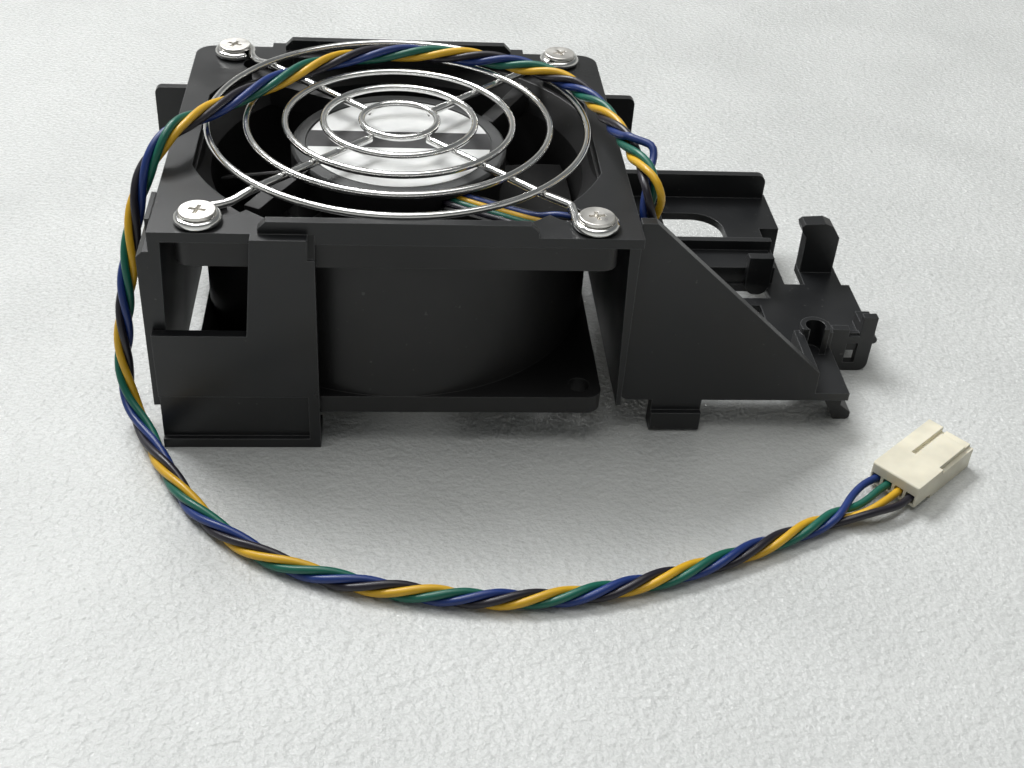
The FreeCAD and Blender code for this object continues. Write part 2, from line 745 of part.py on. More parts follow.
def front_panel():
    """The window's sill, its right column and the lower panel with its pocket."""
    y0, y1 = FRONT_Y - PANEL_T, FRONT_Y
    lower = box(PANEL_X0, PANEL_X1, y0, y1, -STAND, PANEL_TOP)
    column = front_prism([
        (COLUMN_X0 - COLUMN_LEAN, PANEL_TOP),
        (PANEL_X1, PANEL_TOP),
        (PANEL_X1, PLATE_TOP),
        (COLUMN_X0, PLATE_TOP),
    ], y0, y1)
    bridge = box(COLUMN_X0, PANEL_X1, y0, -PLATE_Y / 2, FAN_DEPTH, PLATE_TOP)
    shelf = box(PANEL_X0, PANEL_X1, y1, y1 + SHELF_D, -STAND, SHELF_T - STAND)
    panel = fuse([lower, column, bridge, shelf])
    pocket_low = POCKET_RIM - STAND
    pocket = box(PANEL_X0 - 1, PANEL_X1 - POCKET_RIM, y0 - 1, y0 + POCKET_DEPTH, pocket_low, POCKET_TOP)
    driver_way = rod(-HOLE_AT, -HOLE_AT, -STAND - 1, 0, DRIVER_R)
    notch_low = PLATE_TOP - COLUMN_NOTCH_H
    notch = side_prism([
        (y0 - 1, notch_low),
        (y0 + COLUMN_NOTCH_LAND, notch_low),
        (-PLATE_Y / 2, PLATE_TOP),
        (-PLATE_Y / 2, PLATE_TOP + 1),
        (y0 - 1, PLATE_TOP + 1),
    ], PANEL_X1 - COLUMN_NOTCH, PANEL_X1 + 1)
    return panel.cut(pocket).cut(notch).cut(driver_way)


def side_wall(sign):
    """Wall down the whole depth of the fan, beside it, thinner towards its lower edge."""
    front = -PLATE_Y / 2 + (0 if sign < 0 else WALL_SETBACK)
    return front_prism([
        (sign * WALL_X, 0),
        (sign * WALL_X, FAN_DEPTH + PLATE_T / 2),
        (sign * (WALL_X - WALL_T), FAN_DEPTH + PLATE_T / 2),
        (sign * (WALL_X - WALL_T + WALL_DRAFT), 0),
    ], front, PLATE_Y / 2)


def rear_ear(sign):
    x0, x1 = sorted([sign * (WALL_X - 0.5), sign * (WALL_X + TAB_OUT)])
    top = TAB_LOW + TAB_H
    ear = box(x0, x1, TAB_Y, TAB_Y + TAB_T, TAB_LOW, top)
    outer = sign * (WALL_X + TAB_OUT)
    return ear.makeFillet(1.5, edges_at(ear, x=outer, z=top, along=1))


def left_rail():
    """Guide rail down the outside of the left wall, with a thin key rib on top."""
    x0 = -WALL_X - RAIL_X
    front = -PLATE_Y / 2
    rail = box(x0, -WALL_X + WALL_T / 2, front, front + RAIL_L, RAIL_LOW, RAIL_TOP)
    rail = rail.makeChamfer(1.2, edges_at(rail, x=x0, z=RAIL_TOP, along=1))
    rib_y = front + RIB_START
    rib = box(-WALL_X - RIB_OUT, -WALL_X, rib_y, rib_y + RIB_L, RAIL_TOP - 3, PLATE_TOP + 0.2)
    return fuse([rail, rib])


def rear_stay():
    """Two columns and a cross bar behind the fan; the bar's underside is a foot."""
    y0, y1 = FAN_HALF + FRONT_GAP, FAN_HALF + FRONT_GAP + PANEL_T
    parts = [box(-WALL_X, WALL_X, y0, y1, -STAND, STAY_BAR_TOP)]
    for sign in (-1, 1):
        x0, x1 = sorted([sign * STAY_X0, sign * STAY_X1])
        parts.append(box(x0, x1, y0, y1, STAY_BAR_TOP, PLATE_TOP))
        parts.append(box(x0, x1, PLATE_Y / 2, y1, FAN_DEPTH, PLATE_TOP))
        side_x0, side_x1 = sorted([sign * (WALL_X - WALL_T + WALL_DRAFT), sign * WALL_X])
        parts.append(box(side_x0, side_x1, PLATE_Y / 2 - 1, y1, 0, STAY_BAR_TOP))
    return fuse(parts)


def wire_slot():
    """Opening in the right wall through which the wires reach the gland."""
    slot = fuse(wire_space(BUNCH_W, CHANNEL_FLOOR - 0.2, FAN_DEPTH))
    return slot.common(box(FAN_HALF, WALL_X + 1, -FAN_HALF, 0, 0, FAN_DEPTH))


def bracket_cradle():
    plate = box(-WALL_X, WALL_X, -PLATE_Y / 2, PLATE_Y / 2, FAN_DEPTH, PLATE_TOP)
    rear_corners = edges_at(plate, y=PLATE_Y / 2, along=2)
    plate = plate.makeFillet(PLATE_REAR_R, rear_corners)
    body = fuse([
        plate,
        lip(-PLATE_Y / 2, LIP_T - PLATE_Y / 2),
        lip(PLATE_Y / 2 - LIP_T, PLATE_Y / 2),
        front_panel(),
        left_rail(),
        rear_stay(),
    ] + [side_wall(s) for s in (-1, 1)] + [rear_ear(s) for s in (-1, 1)])
    body = body.cut(plate_opening())
    for sx, sy in CORNERS:
        body = body.cut(rod(sx * HOLE_AT, sy * HOLE_AT, FAN_DEPTH - 1, PLATE_TOP + 1, SCREW_CLEAR_R))
    return body.cut(wire_slot())


def gusset():
    """Triangular side panel that carries the tray, with its hooked foot."""
    y0, y1 = GUSSET_Y, GUSSET_Y + GUSSET_T
    top = PLATE_TOP + GUSSET_RISE
    corners = [
        (0, 0),
        (GUSSET_L, 0),
        (GUSSET_L, GUSSET_HEEL),
        (GUSSET_TOP, top),
        (0, top),
    ]
    panel = front_prism(corners, y0, y1)
    panel = panel.makeFillet(2.0, edges_at(panel, x=0, z=0, along=1))
    foot = box(6.7, 16.9, y0, y0 + 3.0, -STAND, 0.5)
    toe = box(6.7, 16.9, y0 - 1.2, y0, -STAND, -2.5)
    toe = toe.makeFillet(0.9, edges_at(toe, y=y0 - 1.2, z=-STAND, along=0))
    heel = box(GUSSET_L - 1.8, GUSSET_L, y1 - 0.5, y1 + 13, 0, GUSSET_HEEL)
    web = side_prism([(y1, DECK_T), (y1 + 9, DECK_T), (y1, 16)], 17.7, 19.3)
    return fuse([panel, foot, toe, heel, web])


def raised_deck():
    """Rear half of the tray, one step up, with its walls, rib and window."""
    back = SHELF_BACK
    deck_top = SHELF_Z + DECK_T
    deck = plan_prism([
        (0, DECK_Y), (40.2, DECK_Y), (40.2, 22.0), (SHELF_L, 22.0), (SHELF_L, back), (0, back),
    ], SHELF_Z, deck_top)
    window = box(WINDOW_X0, WINDOW_X1, WINDOW_Y0, WINDOW_Y1, SHELF_Z - 1, deck_top + 1)
    window = window.makeFillet(WINDOW_R, edges_at(window, x=WINDOW_X1, y=WINDOW_Y1, along=2))
    back_wall = box(0, SHELF_L - 0.8, back - TAB_T, back, deck_top, BACK_WALL_TOP)
    back_wall = back_wall.makeFillet(2.0, edges_at(back_wall, x=SHELF_L - 0.8, z=BACK_WALL_TOP, along=1))
    rib = box(0, 40.7, RIB_Y, RIB_Y + RIB_T, deck_top - 0.5, RIB_TOP)
    riser = box(0, 40.2, DECK_Y, DECK_Y + 1.6, 0, deck_top)
    skirt = box(40.2, SHELF_L, 22.0, 23.8, -2.6, deck_top)
    side_leg = box(SHELF_L - 1.8, SHELF_L, 22.0, 30.0, -2.6, deck_top)
    latch = box(33.5, 39.0, 2.9, DECK_Y, 0.1, 9.7)
    latch = latch.makeFillet(2.6, edges_at(latch, z=0.1, along=1))
    hook = side_prism([(2.9, 9.7), (4.9, 9.7), (6.6, 7.6), (4.9, 7.6), (4.9, 6.0), (2.9, 6.0)], 33.5, 39.0)
    return fuse([deck.cut(window), back_wall, rib, riser, skirt, side_leg, latch, hook])


def lower_deck():
    deck = plan_prism([
        (0, GUSSET_Y + GUSSET_T - 0.5),
        (GUSSET_L - 1, GUSSET_Y + GUSSET_T - 0.5),
        (GUSSET_L - 1, GUSSET_Y),
        (ARM_L, GUSSET_Y),
        (ARM_L, ARM_Y),
        (DECK_L, ARM_Y),
        (DECK_L, DECK_Y - 0.2),
        (56.3, DECK_Y - 0.2),
        (56.3, 13.5),
        (47.7, 13.5),
        (47.7, DECK_Y - 0.2),
        (43.1, DECK_Y - 0.2),
        (43.1, 22.5),
        (39.7, 22.5),
        (39.7, DECK_Y + 0.5),
        (0, DECK_Y + 0.5),
    ], 0, DECK_T)
    slot = box(SLOT_X0, SLOT_X1, SLOT_Y0, SLOT_Y1, -1, DECK_T + 1)
    well = box(SLOT_X0, WELL_X1, WELL_Y0, WELL_Y1, -1, DECK_T + 1)
    return deck.cut(slot).cut(well)


def tray_fittings():
    """Hook post, cable clip, slotted leg and the right foot."""
    post = front_prism([
        (47.8, DECK_T), (55.3, DECK_T), (55.3, 11.1), (53.4, 13.9), (51.5, 14.7), (46.9, 14.4),
        (46.2, 13.7), (46.5, 12.5), (47.7, 11.0),
    ], 9.8, 13.5)
    clip = tube(42.7, ARM_Y - 5.0, DECK_T, 8.2, 3.2, 2.1)
    clip = clip.cut(box(38.7, 46.7, ARM_Y - 10.3, ARM_Y - 6.5, 0, 9))
    fin = box(45.6, 47.2, ARM_Y - 4.2, ARM_Y, DECK_T, 5.8)
    leg_back = ARM_Y + LEG_T
    leg_high = box(LEG_SLOT_X1, DECK_L, ARM_Y, leg_back, -STAND, LEG_FRAME_TOP)
    leg_high = leg_high.makeFillet(2.0, edges_at(leg_high, x=DECK_L, z=-STAND, along=1))
    leg_low = box(LEG_FRAME_X0, LEG_SLOT_X0, ARM_Y, leg_back, -STAND, 3.6)
    leg_bar = box(LEG_SLOT_X0 - 0.5, LEG_SLOT_X1 + 0.5, ARM_Y, leg_back, -STAND, LEG_BAR_TOP)
    leg_web = box(LEG_SLOT_X0 - 0.5, LEG_SLOT_X1 + 0.5, ARM_Y + 0.7, leg_back, LEG_WEB_LOW, DECK_T + 0.5)
    bump = Part.makeCylinder(0.9, LEG_T, Vector(DECK_L, ARM_Y, 0.9), Vector(0, 1, 0))
    rim = box(LEG_SLOT_X1, DECK_L, ARM_Y + 1.0, ARM_Y + 6.0, DECK_T - 0.5, 4.4)
    foot = front_prism([
        (43.5, 0.5), (43.9, -2.8), (46.3, -STAND), (49.1, -STAND), (49.7, -6.6), (49.7, -5.4),
        (47.3, -3.5), (47.3, 0.5),
    ], GUSSET_Y + 3.0, GUSSET_Y + 7.0)
    return [post, clip, fin, leg_high, leg_low, leg_bar, leg_web, bump, rim, foot]


def lead_gland():
    """Moulded boss in the corner of wall and gusset; the lead rises out of it."""
    front = GUSSET_Y + GUSSET_T - 0.5
    boss = box(WALL_X, GLAND_X + GLAND_HALF, front, GLAND_Y + GLAND_HALF, GLAND_LOW, GLAND_TOP)
    bore = rod(GLAND_X, GLAND_Y, GLAND_FLOOR, GLAND_TOP + 1, LEAD_D / 2 + LEAD_PLAY)
    start, end = wire_channel_run()
    inlet = straight_bar(start, end, BUNCH_W, CHANNEL_FLOOR - 0.1, GLAND_TOP + 1)
    return boss.cut(bore).cut(inlet)


def bracket_side_tray():
    tray = fuse([gusset(), raised_deck(), lower_deck()] + tray_fittings())
    tray.translate(Vector(WALL_X, 0, 0))
    return fuse([tray, lead_gland()])


# ------------------------------------------------------------------ guard and screws

def guard_rod_end():
    """One end of a rod: down from the straight and round its screw, drawn along +X."""
    z_rod = PLATE_TOP + ROD_R + ROD_LIFT
    z_loop = PLATE_TOP + ROD_R
    before_screw = math.sqrt((LOOP_R + ROD_BEND_R) ** 2 - ROD_BEND_R ** 2)
    touch = math.degrees(math.atan2(ROD_BEND_R, before_screw))
    knee = Vector(ROD_STRAIGHT, 0, z_rod)
    foot = Vector(HOLE_DIAGONAL - before_screw, 0, z_loop)
    bend = turned(Part.makeTorus(ROD_BEND_R, ROD_R, Vector(), Vector(0, 0, 1), 0, 360, 90 - touch), touch)
    bend.translate(foot - Vector(0, ROD_BEND_R, 0))
    loop = turned(Part.makeTorus(LOOP_R, ROD_R, Vector(), Vector(0, 0, 1), 0, 360, LOOP_ARC), 180 + touch)
    loop.translate(Vector(HOLE_DIAGONAL, 0, z_loop))
    finish = math.radians(180 + touch + LOOP_ARC)
    tip = Vector(HOLE_DIAGONAL + LOOP_R * math.cos(finish), LOOP_R * math.sin(finish), z_loop)
    return [
        straight_core(Vector(0, 0, z_rod), knee, ROD_R),
        Part.makeSphere(ROD_R, knee),
        straight_core(knee, foot, ROD_R),
        Part.makeSphere(ROD_R, foot),
        bend,
        loop,
        Part.makeSphere(ROD_R, tip),
    ]


def wire_guard():
    """Five rings welded on two crossed rods whose ends loop round the screws."""
    z_ring = PLATE_TOP + 2 * ROD_R + ROD_LIFT + RING_R - WELD
    rings = [Part.makeTorus(RING_PITCH * (i + 1), RING_R, Vector(0, 0, z_ring)) for i in range(RING_COUNT)]
    pieces = []
    for i in range(4):
        pieces += [turned(p, 45 + 90 * i) for p in guard_rod_end()]
    return fuse(pieces + rings)


def guard_screws():
    """Four pan-head screws with cross recesses, on top of the guard's loops."""
    z_head = PLATE_TOP + 2 * ROD_R
    low = z_head - SCREW_LEN
    screw = revolved([
        (0, low),
        (SCREW_R * 0.4, low),
        (SCREW_R, low + 1.6),
        (SCREW_R, z_head),
        (HEAD_R, z_head),
        (HEAD_R, z_head + HEAD_EDGE),
        (HEAD_R * 0.86, z_head + HEAD_H * 0.78),
        (HEAD_R * 0.5, z_head + HEAD_H),
        (0, z_head + HEAD_H),
    ])
    z_drive = z_head + HEAD_H - DRIVE_D
    for turn in (0, 90):
        slot = box(-DRIVE_L / 2, DRIVE_L / 2, -DRIVE_W / 2, DRIVE_W / 2, z_drive, z_head + HEAD_H + 1)
        screw = screw.cut(turned(slot, turn))
    screws = []
    for sx, sy in CORNERS:
        copy = screw.copy()
        copy.translate(Vector(sx * HOLE_AT, sy * HOLE_AT, 0))
        screws.append(copy)
    return Part.makeCompound(screws)


# ------------------------------------------------------------------ lead and plug

def lead_route():
    """Corner points of the lead's centre line, from the gland to the plug."""
    rest = PLATE_TOP + 2 * ROD_R + ROD_LIFT + 2 * RING_R - WELD + LEAD_D / 2 + 0.15
    floor = LEAD_D / 2 + 0.05 - STAND
    tail = plug_point(-9.5, 0, 0)
    over_guard = [
        (1.155, -0.388, 0.8), (1.110, -0.113, 0), (1.040, 0.140, -0.4), (0.900, 0.360, 0),
        (0.688, 0.535, 0), (0.388, 0.640, 0), (0.025, 0.660, 0), (-0.238, 0.600, 0),
        (-0.450, 0.440, 0), (-0.713, 0.165, 0), (-0.900, -0.060, 0), (-1.000, -0.215, 0.7),
        (-1.115, -0.335, 0.4),
    ]
    down_side = [
        (-1.248, -0.455, 1.013), (-1.285, -0.615, 0.671), (-1.320, -0.715, 0.316),
        (-1.340, -0.755, 0.089),
    ]
    on_floor = [
        (-1.270, -0.995), (-1.125, -1.245), (-0.890, -1.615), (-0.525, -1.915), (0.000, -2.085),
        (0.600, -2.150), (1.200, -2.030), (1.825, -1.775),
    ]
    route = [
        Vector(GLAND_X, GLAND_Y, GLAND_FLOOR),
        Vector(GLAND_X, GLAND_Y, rest - 3.4),
        Vector(GLAND_X, GLAND_Y + 4.6, rest + 1.2),
    ]
    route += [Vector(x * FAN_HALF, y * FAN_HALF, rest + z) for x, y, z in over_guard]
    route += [Vector(x * FAN_HALF, y * FAN_HALF, z * FAN_DEPTH) for x, y, z in down_side]
    route.append(Vector(-1.330 * FAN_HALF, -0.835 * FAN_HALF, floor + 2.7))
    route += [Vector(x * FAN_HALF, y * FAN_HALF, floor) for x, y in on_floor]
    route.append(Vector(tail.x, tail.y, floor))
    route.append(plug_point(0, 0, PLUG_H / 2 - 0.4))
    return route


def fan_lead():
    route = lead_route()
    path, radii = rounded_path(route)
    circle = Part.Wire(Part.makeCircle(LEAD_D / 2, route[0], route[1] - route[0]))
    lead = path.makePipeShell([circle], True, False)
    expected = math.pi * (LEAD_D / 2) ** 2 * path.Length
    print("lead length %.1f mm" % path.Length)
    print("lead volume %.1f, section times length %.1f" % (lead.Volume, expected))
    print("lead corner points:", [tuple(round(c, 2) for c in p) for p in route])
    print("lead bend radii in diameters:", ["%.1f" % (r / LEAD_D) for r in radii])
    return lead


def plug_point(along, across, up):
    """Place of a point given in the plug's own directions, measured from its wire face."""
    yaw = math.radians(PLUG_YAW)
    x = PLUG_X + along * math.cos(yaw) - across * math.sin(yaw)
    y = PLUG_Y + along * math.sin(yaw) + across * math.cos(yaw)
    return Vector(x, y, up - STAND)


def plug_placed(shape):
    shape.rotate(Vector(0, 0, 0), Vector(0, 0, 1), PLUG_YAW)
    shape.translate(Vector(PLUG_X, PLUG_Y, -STAND))
    return shape


def cavity_places():
    return [(i - (PIN_COUNT - 1) / 2) * PIN_PITCH for i in range(PIN_COUNT)]


def plug_housing():
    half = PLUG_W / 2
    body = box(0, PLUG_L, -half, half, 0, PLUG_H)
    body = body.makeFillet(0.4, edges_at(body, x=0, along=1) + edges_at(body, x=0, along=2))
    body = body.cut(box(-1, PLUG_NECK_L, -half - 1, half + 1, -1, PLUG_H - PLUG_NECK))
    groove_x = PLUG_L * 0.42
    top = PLUG_H - PLUG_GROOVE
    groove_y = half - PLUG_RAIL
    body = body.cut(box(groove_x, PLUG_L + 1, groove_y - PLUG_GROOVE_W, groove_y, top, PLUG_H + 1))
    body = body.cut(box(groove_x, PLUG_L + 1, -half - 1, PLUG_GROOVE_W - half, top, PLUG_H + 1))
    step_y0 = PLUG_GROOVE_W - half - 0.5
    body = body.cut(box(PLUG_L - 2.2, PLUG_L + 1, step_y0, groove_y, PLUG_H - 0.5, PLUG_H + 1))
    for y in cavity_places():
        side = CAVITY / 2
        body = body.cut(box(-1, PLUG_L + 1, y - side, y + side, CAVITY_Z - side, CAVITY_Z + side))
    return plug_placed(body)


def crimp_terminals():
    """Four crimped box contacts, pushed home into the plug's cavities."""
    low = CAVITY_Z - CAVITY / 2
    contacts = []
    for y in cavity_places():
        half = CRIMP_W / 2
        contact = box(9.0, 9.0 + CRIMP_L, y - half, y + half, low, low + CRIMP_W)
        bore = half - 0.3
        contact = contact.cut(box(12.0, 20.0 + CRIMP_L, y - bore, y + bore, low + 0.3, low + CRIMP_W - 0.3))
        barrel = box(3.0, 9.0, y - half, y + half, low, low + 1.2)
        barrel = barrel.cut(box(2.0, 8.0, y - bore, y + bore, low + 0.25, low + 3.0))
        contacts.append(contact.fuse(barrel).removeSplitter())
    return plug_placed(Part.makeCompound(contacts))


# ------------------------------------------------------------------ output

def build_all():
    lower_outer, lower_inner = bearing_rings(TUBE_BOTTOM)
    upper_outer, upper_inner = bearing_rings(UPPER_BEARING_Z)
    return {
        "bracket_cradle": bracket_cradle(),
        "bracket_side_tray": bracket_side_tray(),
        "fan_frame": fan_frame(),
        "motor_base": motor_base(),
        "motor_label": motor_label(),
        "wire_guard": wire_guard(),
        "guard_screws": guard_screws(),
        "impeller": impeller(),
        "rotor_yoke": rotor_yoke(),
        "magnet_ring": magnet_ring(),
        "shaft_boss": shaft_boss(),
        "shaft": shaft(),
        "preload_spring": preload_spring(),
        "retaining_clip": retaining_clip(),
        "lower_bearing_outer_ring": lower_outer,
        "lower_bearing_inner_ring": lower_inner,
        "lower_ball_train": ball_train(TUBE_BOTTOM),
        "upper_bearing_outer_ring": upper_outer,
        "upper_bearing_inner_ring": upper_inner,
        "upper_ball_train": ball_train(UPPER_BEARING_Z),
        "stator_core": stator_core(),
        "lower_insulator": insulator(STACK_BOTTOM, -1),
        "upper_insulator": insulator(STACK_TOP, 1),
        "stator_windings": windings(),
        "circuit_board": circuit_board(),
        "board_components": board_parts(),
        "captive_wires": captive_wires(),
        "fan_lead": fan_lead(),
        "plug_housing": plug_housing(),
        "crimp_terminals": crimp_terminals(),
    }


def main():
    os.makedirs("parts", exist_ok=True)
    for name, shape in build_all().items():
        box_ = shape.BoundBox
        print("%-26s valid %s solids %d volume %.1f x %.2f..%.2f y %.2f..%.2f z %.2f..%.2f" % (
            name, shape.isValid(), len(shape.Solids), shape.Volume,
            box_.XMin, box_.XMax, box_.YMin, box_.YMax, box_.ZMin, box_.ZMax))
        shape.exportStep("parts/" + name + ".step")


main()
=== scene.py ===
import math

import bmesh
import bpy
from mathutils import Matrix, Vector


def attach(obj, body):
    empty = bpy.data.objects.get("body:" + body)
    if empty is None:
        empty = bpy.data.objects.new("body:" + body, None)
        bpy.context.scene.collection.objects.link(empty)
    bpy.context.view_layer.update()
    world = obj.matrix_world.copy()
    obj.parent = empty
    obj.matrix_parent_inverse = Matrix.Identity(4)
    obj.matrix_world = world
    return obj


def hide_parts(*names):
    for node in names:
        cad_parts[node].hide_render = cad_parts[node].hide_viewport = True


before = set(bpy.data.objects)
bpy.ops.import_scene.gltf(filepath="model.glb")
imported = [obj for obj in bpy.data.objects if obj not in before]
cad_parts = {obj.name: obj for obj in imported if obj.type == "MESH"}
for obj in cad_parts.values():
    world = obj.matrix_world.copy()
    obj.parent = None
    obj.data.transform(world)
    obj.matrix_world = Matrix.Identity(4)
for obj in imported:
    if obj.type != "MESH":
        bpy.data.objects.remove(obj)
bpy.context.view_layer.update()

MM = 0.001


# ------------------------------------------------------------------ camera

LENS = 47.44
SENSOR = 36.0
CAMERA_PLACE = Vector((-0.0015, -0.24694, 0.16552))
CAMERA_RIGHT = Vector((0.99595, -0.06784, 0.05901))
CAMERA_UP = Vector((-0.00559, 0.60831, 0.79368))
CAMERA_BACK = Vector((-0.08974, -0.79079, 0.60547))


def link(name, data):
    obj = bpy.data.objects.new(name, data)
    bpy.context.scene.collection.objects.link(obj)
    return obj


def make_camera():
    data = bpy.data.cameras.new("camera")
    data.lens = LENS
    data.sensor_width = SENSOR
    data.clip_start = 0.01
    data.clip_end = 50.0
    camera = link("camera", data)
    turn = Matrix((CAMERA_RIGHT, CAMERA_UP, CAMERA_BACK)).transposed().to_4x4()
    camera.matrix_world = Matrix.Translation(CAMERA_PLACE) @ turn
    bpy.context.scene.camera = camera


make_camera()


# ------------------------------------------------------------------ the lead's route

ROUTE = [
    (0.0469, -0.0290, 0.0343),
    (0.0469, -0.0290, 0.0420),
    (0.0464, -0.0243, 0.0456),
    (0.0444, -0.0152, 0.0457),
    (0.0423, -0.0044, 0.0454),
    (0.0402, 0.0052, 0.0450),
    (0.0358, 0.0142, 0.0454),
    (0.0275, 0.0214, 0.0454),
    (0.0155, 0.0258, 0.0454),
    (0.0010, 0.0268, 0.0454),
    (-0.0095, 0.0242, 0.0454),
    (-0.0182, 0.0186, 0.0454),
    (-0.0285, 0.0070, 0.0454),
    (-0.0360, -0.0024, 0.0454),
    (-0.0400, -0.0088, 0.0461),
    (-0.0434, -0.0142, 0.0461),
    (-0.0485, -0.0186, 0.0390),
    (-0.0511, -0.0246, 0.0255),
    (-0.0530, -0.0286, 0.0120),
    (-0.0537, -0.0302, 0.0034),
    (-0.0526, -0.0334, -0.0026),
    (-0.0490, -0.0396, -0.0053),
    (-0.0442, -0.0498, -0.0053),
    (-0.0356, -0.0646, -0.0053),
    (-0.0210, -0.0766, -0.0053),
    (0.0000, -0.0834, -0.0053),
    (0.0240, -0.0860, -0.0053),
    (0.0480, -0.0806, -0.0053),
    (0.0730, -0.0696, -0.0053),
    (0.0880, -0.0618, -0.0053),
    (0.0956, -0.0572, -0.0047),
]


# ------------------------------------------------------------------ small tools for the pieces

SAME_PLACE = 0.005 * MM                     # points nearer than this are one

def piece(name, mesh, body, slot, *materials):
    """Link a finished mesh as one piece of the object that rides on a body."""
    for material in materials:
        mesh.materials.append(material)
    obj = link(name, mesh)
    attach(obj, body)
    return obj


def mesh_from(bm, name):
    """Turn a closed bmesh into a smooth-shaded mesh with its faces outwards."""
    bmesh.ops.recalc_face_normals(bm, faces=bm.faces)
    for face in bm.faces:
        face.smooth = True
    return flat_mesh(bm, name)


def flat_mesh(bm, name):
    """Turn a bmesh into a mesh as it is."""
    mesh = bpy.data.meshes.new(name)
    bm.to_mesh(mesh)
    bm.free()
    return mesh


def soften(bm, edges, width, segments):
    """Round off some edges."""
    bmesh.ops.bevel(
        bm,
        geom=edges,
        offset=width,
        affect="EDGES",
        segments=segments,
        profile=0.5,
        material=-1,
    )


def turn_round(bm, geometry, steps):
    """Spin an outline once round the fan's axis and close the seam."""
    bmesh.ops.spin(
        bm,
        geom=geometry,
        cent=(0, 0, 0),
        axis=(0, 0, 1),
        angle=2 * math.pi,
        steps=steps,
        use_merge=True,
        use_duplicate=False,
    )
    bmesh.ops.remove_doubles(bm, verts=bm.verts, dist=SAME_PLACE)


def curve_points(places, resolution):
    """Points read from an open spline that has the given control points."""
    curve = bpy.data.curves.new("line", "CURVE")
    curve.dimensions = "3D"
    curve.resolution_u = resolution
    spline = curve.splines.new("NURBS")
    spline.points.add(len(places) - 1)
    for point, place in zip(spline.points, places):
        point.co = (*place, 1)
    spline.order_u = 3
    spline.use_endpoint_u = True
    mesh = evaluated(curve)
    return [vert.co.copy() for vert in mesh.vertices]


def evaluated(curve):
    """The mesh of a curve as it stands."""
    holder = link(curve.name, curve)
    bpy.context.view_layer.update()
    depsgraph = bpy.context.evaluated_depsgraph_get()
    mesh = bpy.data.meshes.new_from_object(holder.evaluated_get(depsgraph))
    bpy.data.objects.remove(holder)
    return mesh


def insulated_core(name, line, radius):
    """Round core with closed ends along a line of points."""
    curve = bpy.data.curves.new(name, "CURVE")
    curve.dimensions = "3D"
    curve.bevel_depth = radius
    curve.bevel_resolution = 4
    curve.use_fill_caps = True
    spline = curve.splines.new("POLY")
    spline.points.add(len(line) - 1)
    for point, place in zip(spline.points, line):
        point.co = (*place, 1)
    bm = bmesh.new()
    bm.from_mesh(evaluated(curve))
    bmesh.ops.remove_doubles(bm, verts=bm.verts, dist=2 * SAME_PLACE)
    return mesh_from(bm, name)


def evenly(points, step):
    """The same line with even spacing, and its length."""
    lengths = [0.0]
    for a, b in zip(points, points[1:]):
        lengths.append(lengths[-1] + (b - a).length)
    count = max(2, round(lengths[-1] / step))
    spaced = []
    i = 0
    for k in range(count + 1):
        s = lengths[-1] * k / count
        while i < len(lengths) - 2 and lengths[i + 1] < s:
            i += 1
        span = lengths[i + 1] - lengths[i]
        spaced.append(points[i].lerp(points[i + 1], (s - lengths[i]) / span))
    return spaced, lengths[-1]


def headings(points):
    """Direction of travel at each point of a line."""
    ahead = points[1:] + points[-1:]
    behind = points[:1] + points[:-1]
    return [(b - a).normalized() for a, b in zip(behind, ahead)]


def ease(t):
    t = min(1.0, max(0.0, t))
    return t * t * (3 - 2 * t)


def hump(s, centre, half):
    """Smooth rise and fall round one place, from 0 to 1 and back."""
    away = min(1.0, abs(s - centre) / half)
    return 0.5 + 0.5 * math.cos(math.pi * away)


# ------------------------------------------------------------------ materials

def shader_of(mat):
    return mat.node_tree.nodes["Principled BSDF"]


def add_node(mat, kind, values=None, **settings):
    node = mat.node_tree.nodes.new(kind)
    for key, value in settings.items():
        setattr(node, key, value)
    for key, value in (values or {}).items():
        node.inputs[key].default_value = value
    return node


def base_material(name, color, roughness, metallic=0.0, coat=0.0):
    made = bpy.data.materials.new(name)
    made.use_nodes = True
    shader = shader_of(made)
    shader.inputs["Base Color"].default_value = (*color, 1)
    shader.inputs["Roughness"].default_value = roughness
    shader.inputs["Metallic"].default_value = metallic
    shader.inputs["Coat Weight"].default_value = coat
    return made


def noise(mat, scale, detail=3, stretch=(1, 1, 1)):
    """Noise on object coordinates, drawn out along an axis where stretch is under one."""
    place = add_node(mat, "ShaderNodeTexCoord")
    mapping = add_node(mat, "ShaderNodeMapping", {"Scale": stretch})
    cloud = add_node(mat, "ShaderNodeTexNoise", {"Scale": scale, "Detail": detail})
    mat.node_tree.links.new(place.outputs["Object"], mapping.inputs["Vector"])
    mat.node_tree.links.new(mapping.outputs["Vector"], cloud.inputs["Vector"])
    return cloud.outputs["Fac"]


def ranged(mat, value, low_in, high_in, low_out, high_out):
    spread = add_node(mat, "ShaderNodeMapRange", {
        "From Min": low_in, "From Max": high_in, "To Min": low_out, "To Max": high_out,
    })
    mat.node_tree.links.new(value, spread.inputs["Value"])
    return spread.outputs["Result"]


def tinted(mat, factor, first, second):
    """Blend from one colour (or linked colour) to another."""
    mix = add_node(mat, "ShaderNodeMix", {"B": (*second, 1)}, data_type="RGBA")
    if isinstance(first, tuple):
        mix.inputs["A"].default_value = (*first, 1)
    else:
        mat.node_tree.links.new(first, mix.inputs["A"])
    mat.node_tree.links.new(factor, mix.inputs["Factor"])
    return mix.outputs["Result"]


EDGE_SAMPLES = 4
RELIEF_DEPTH = 0.1 * MM


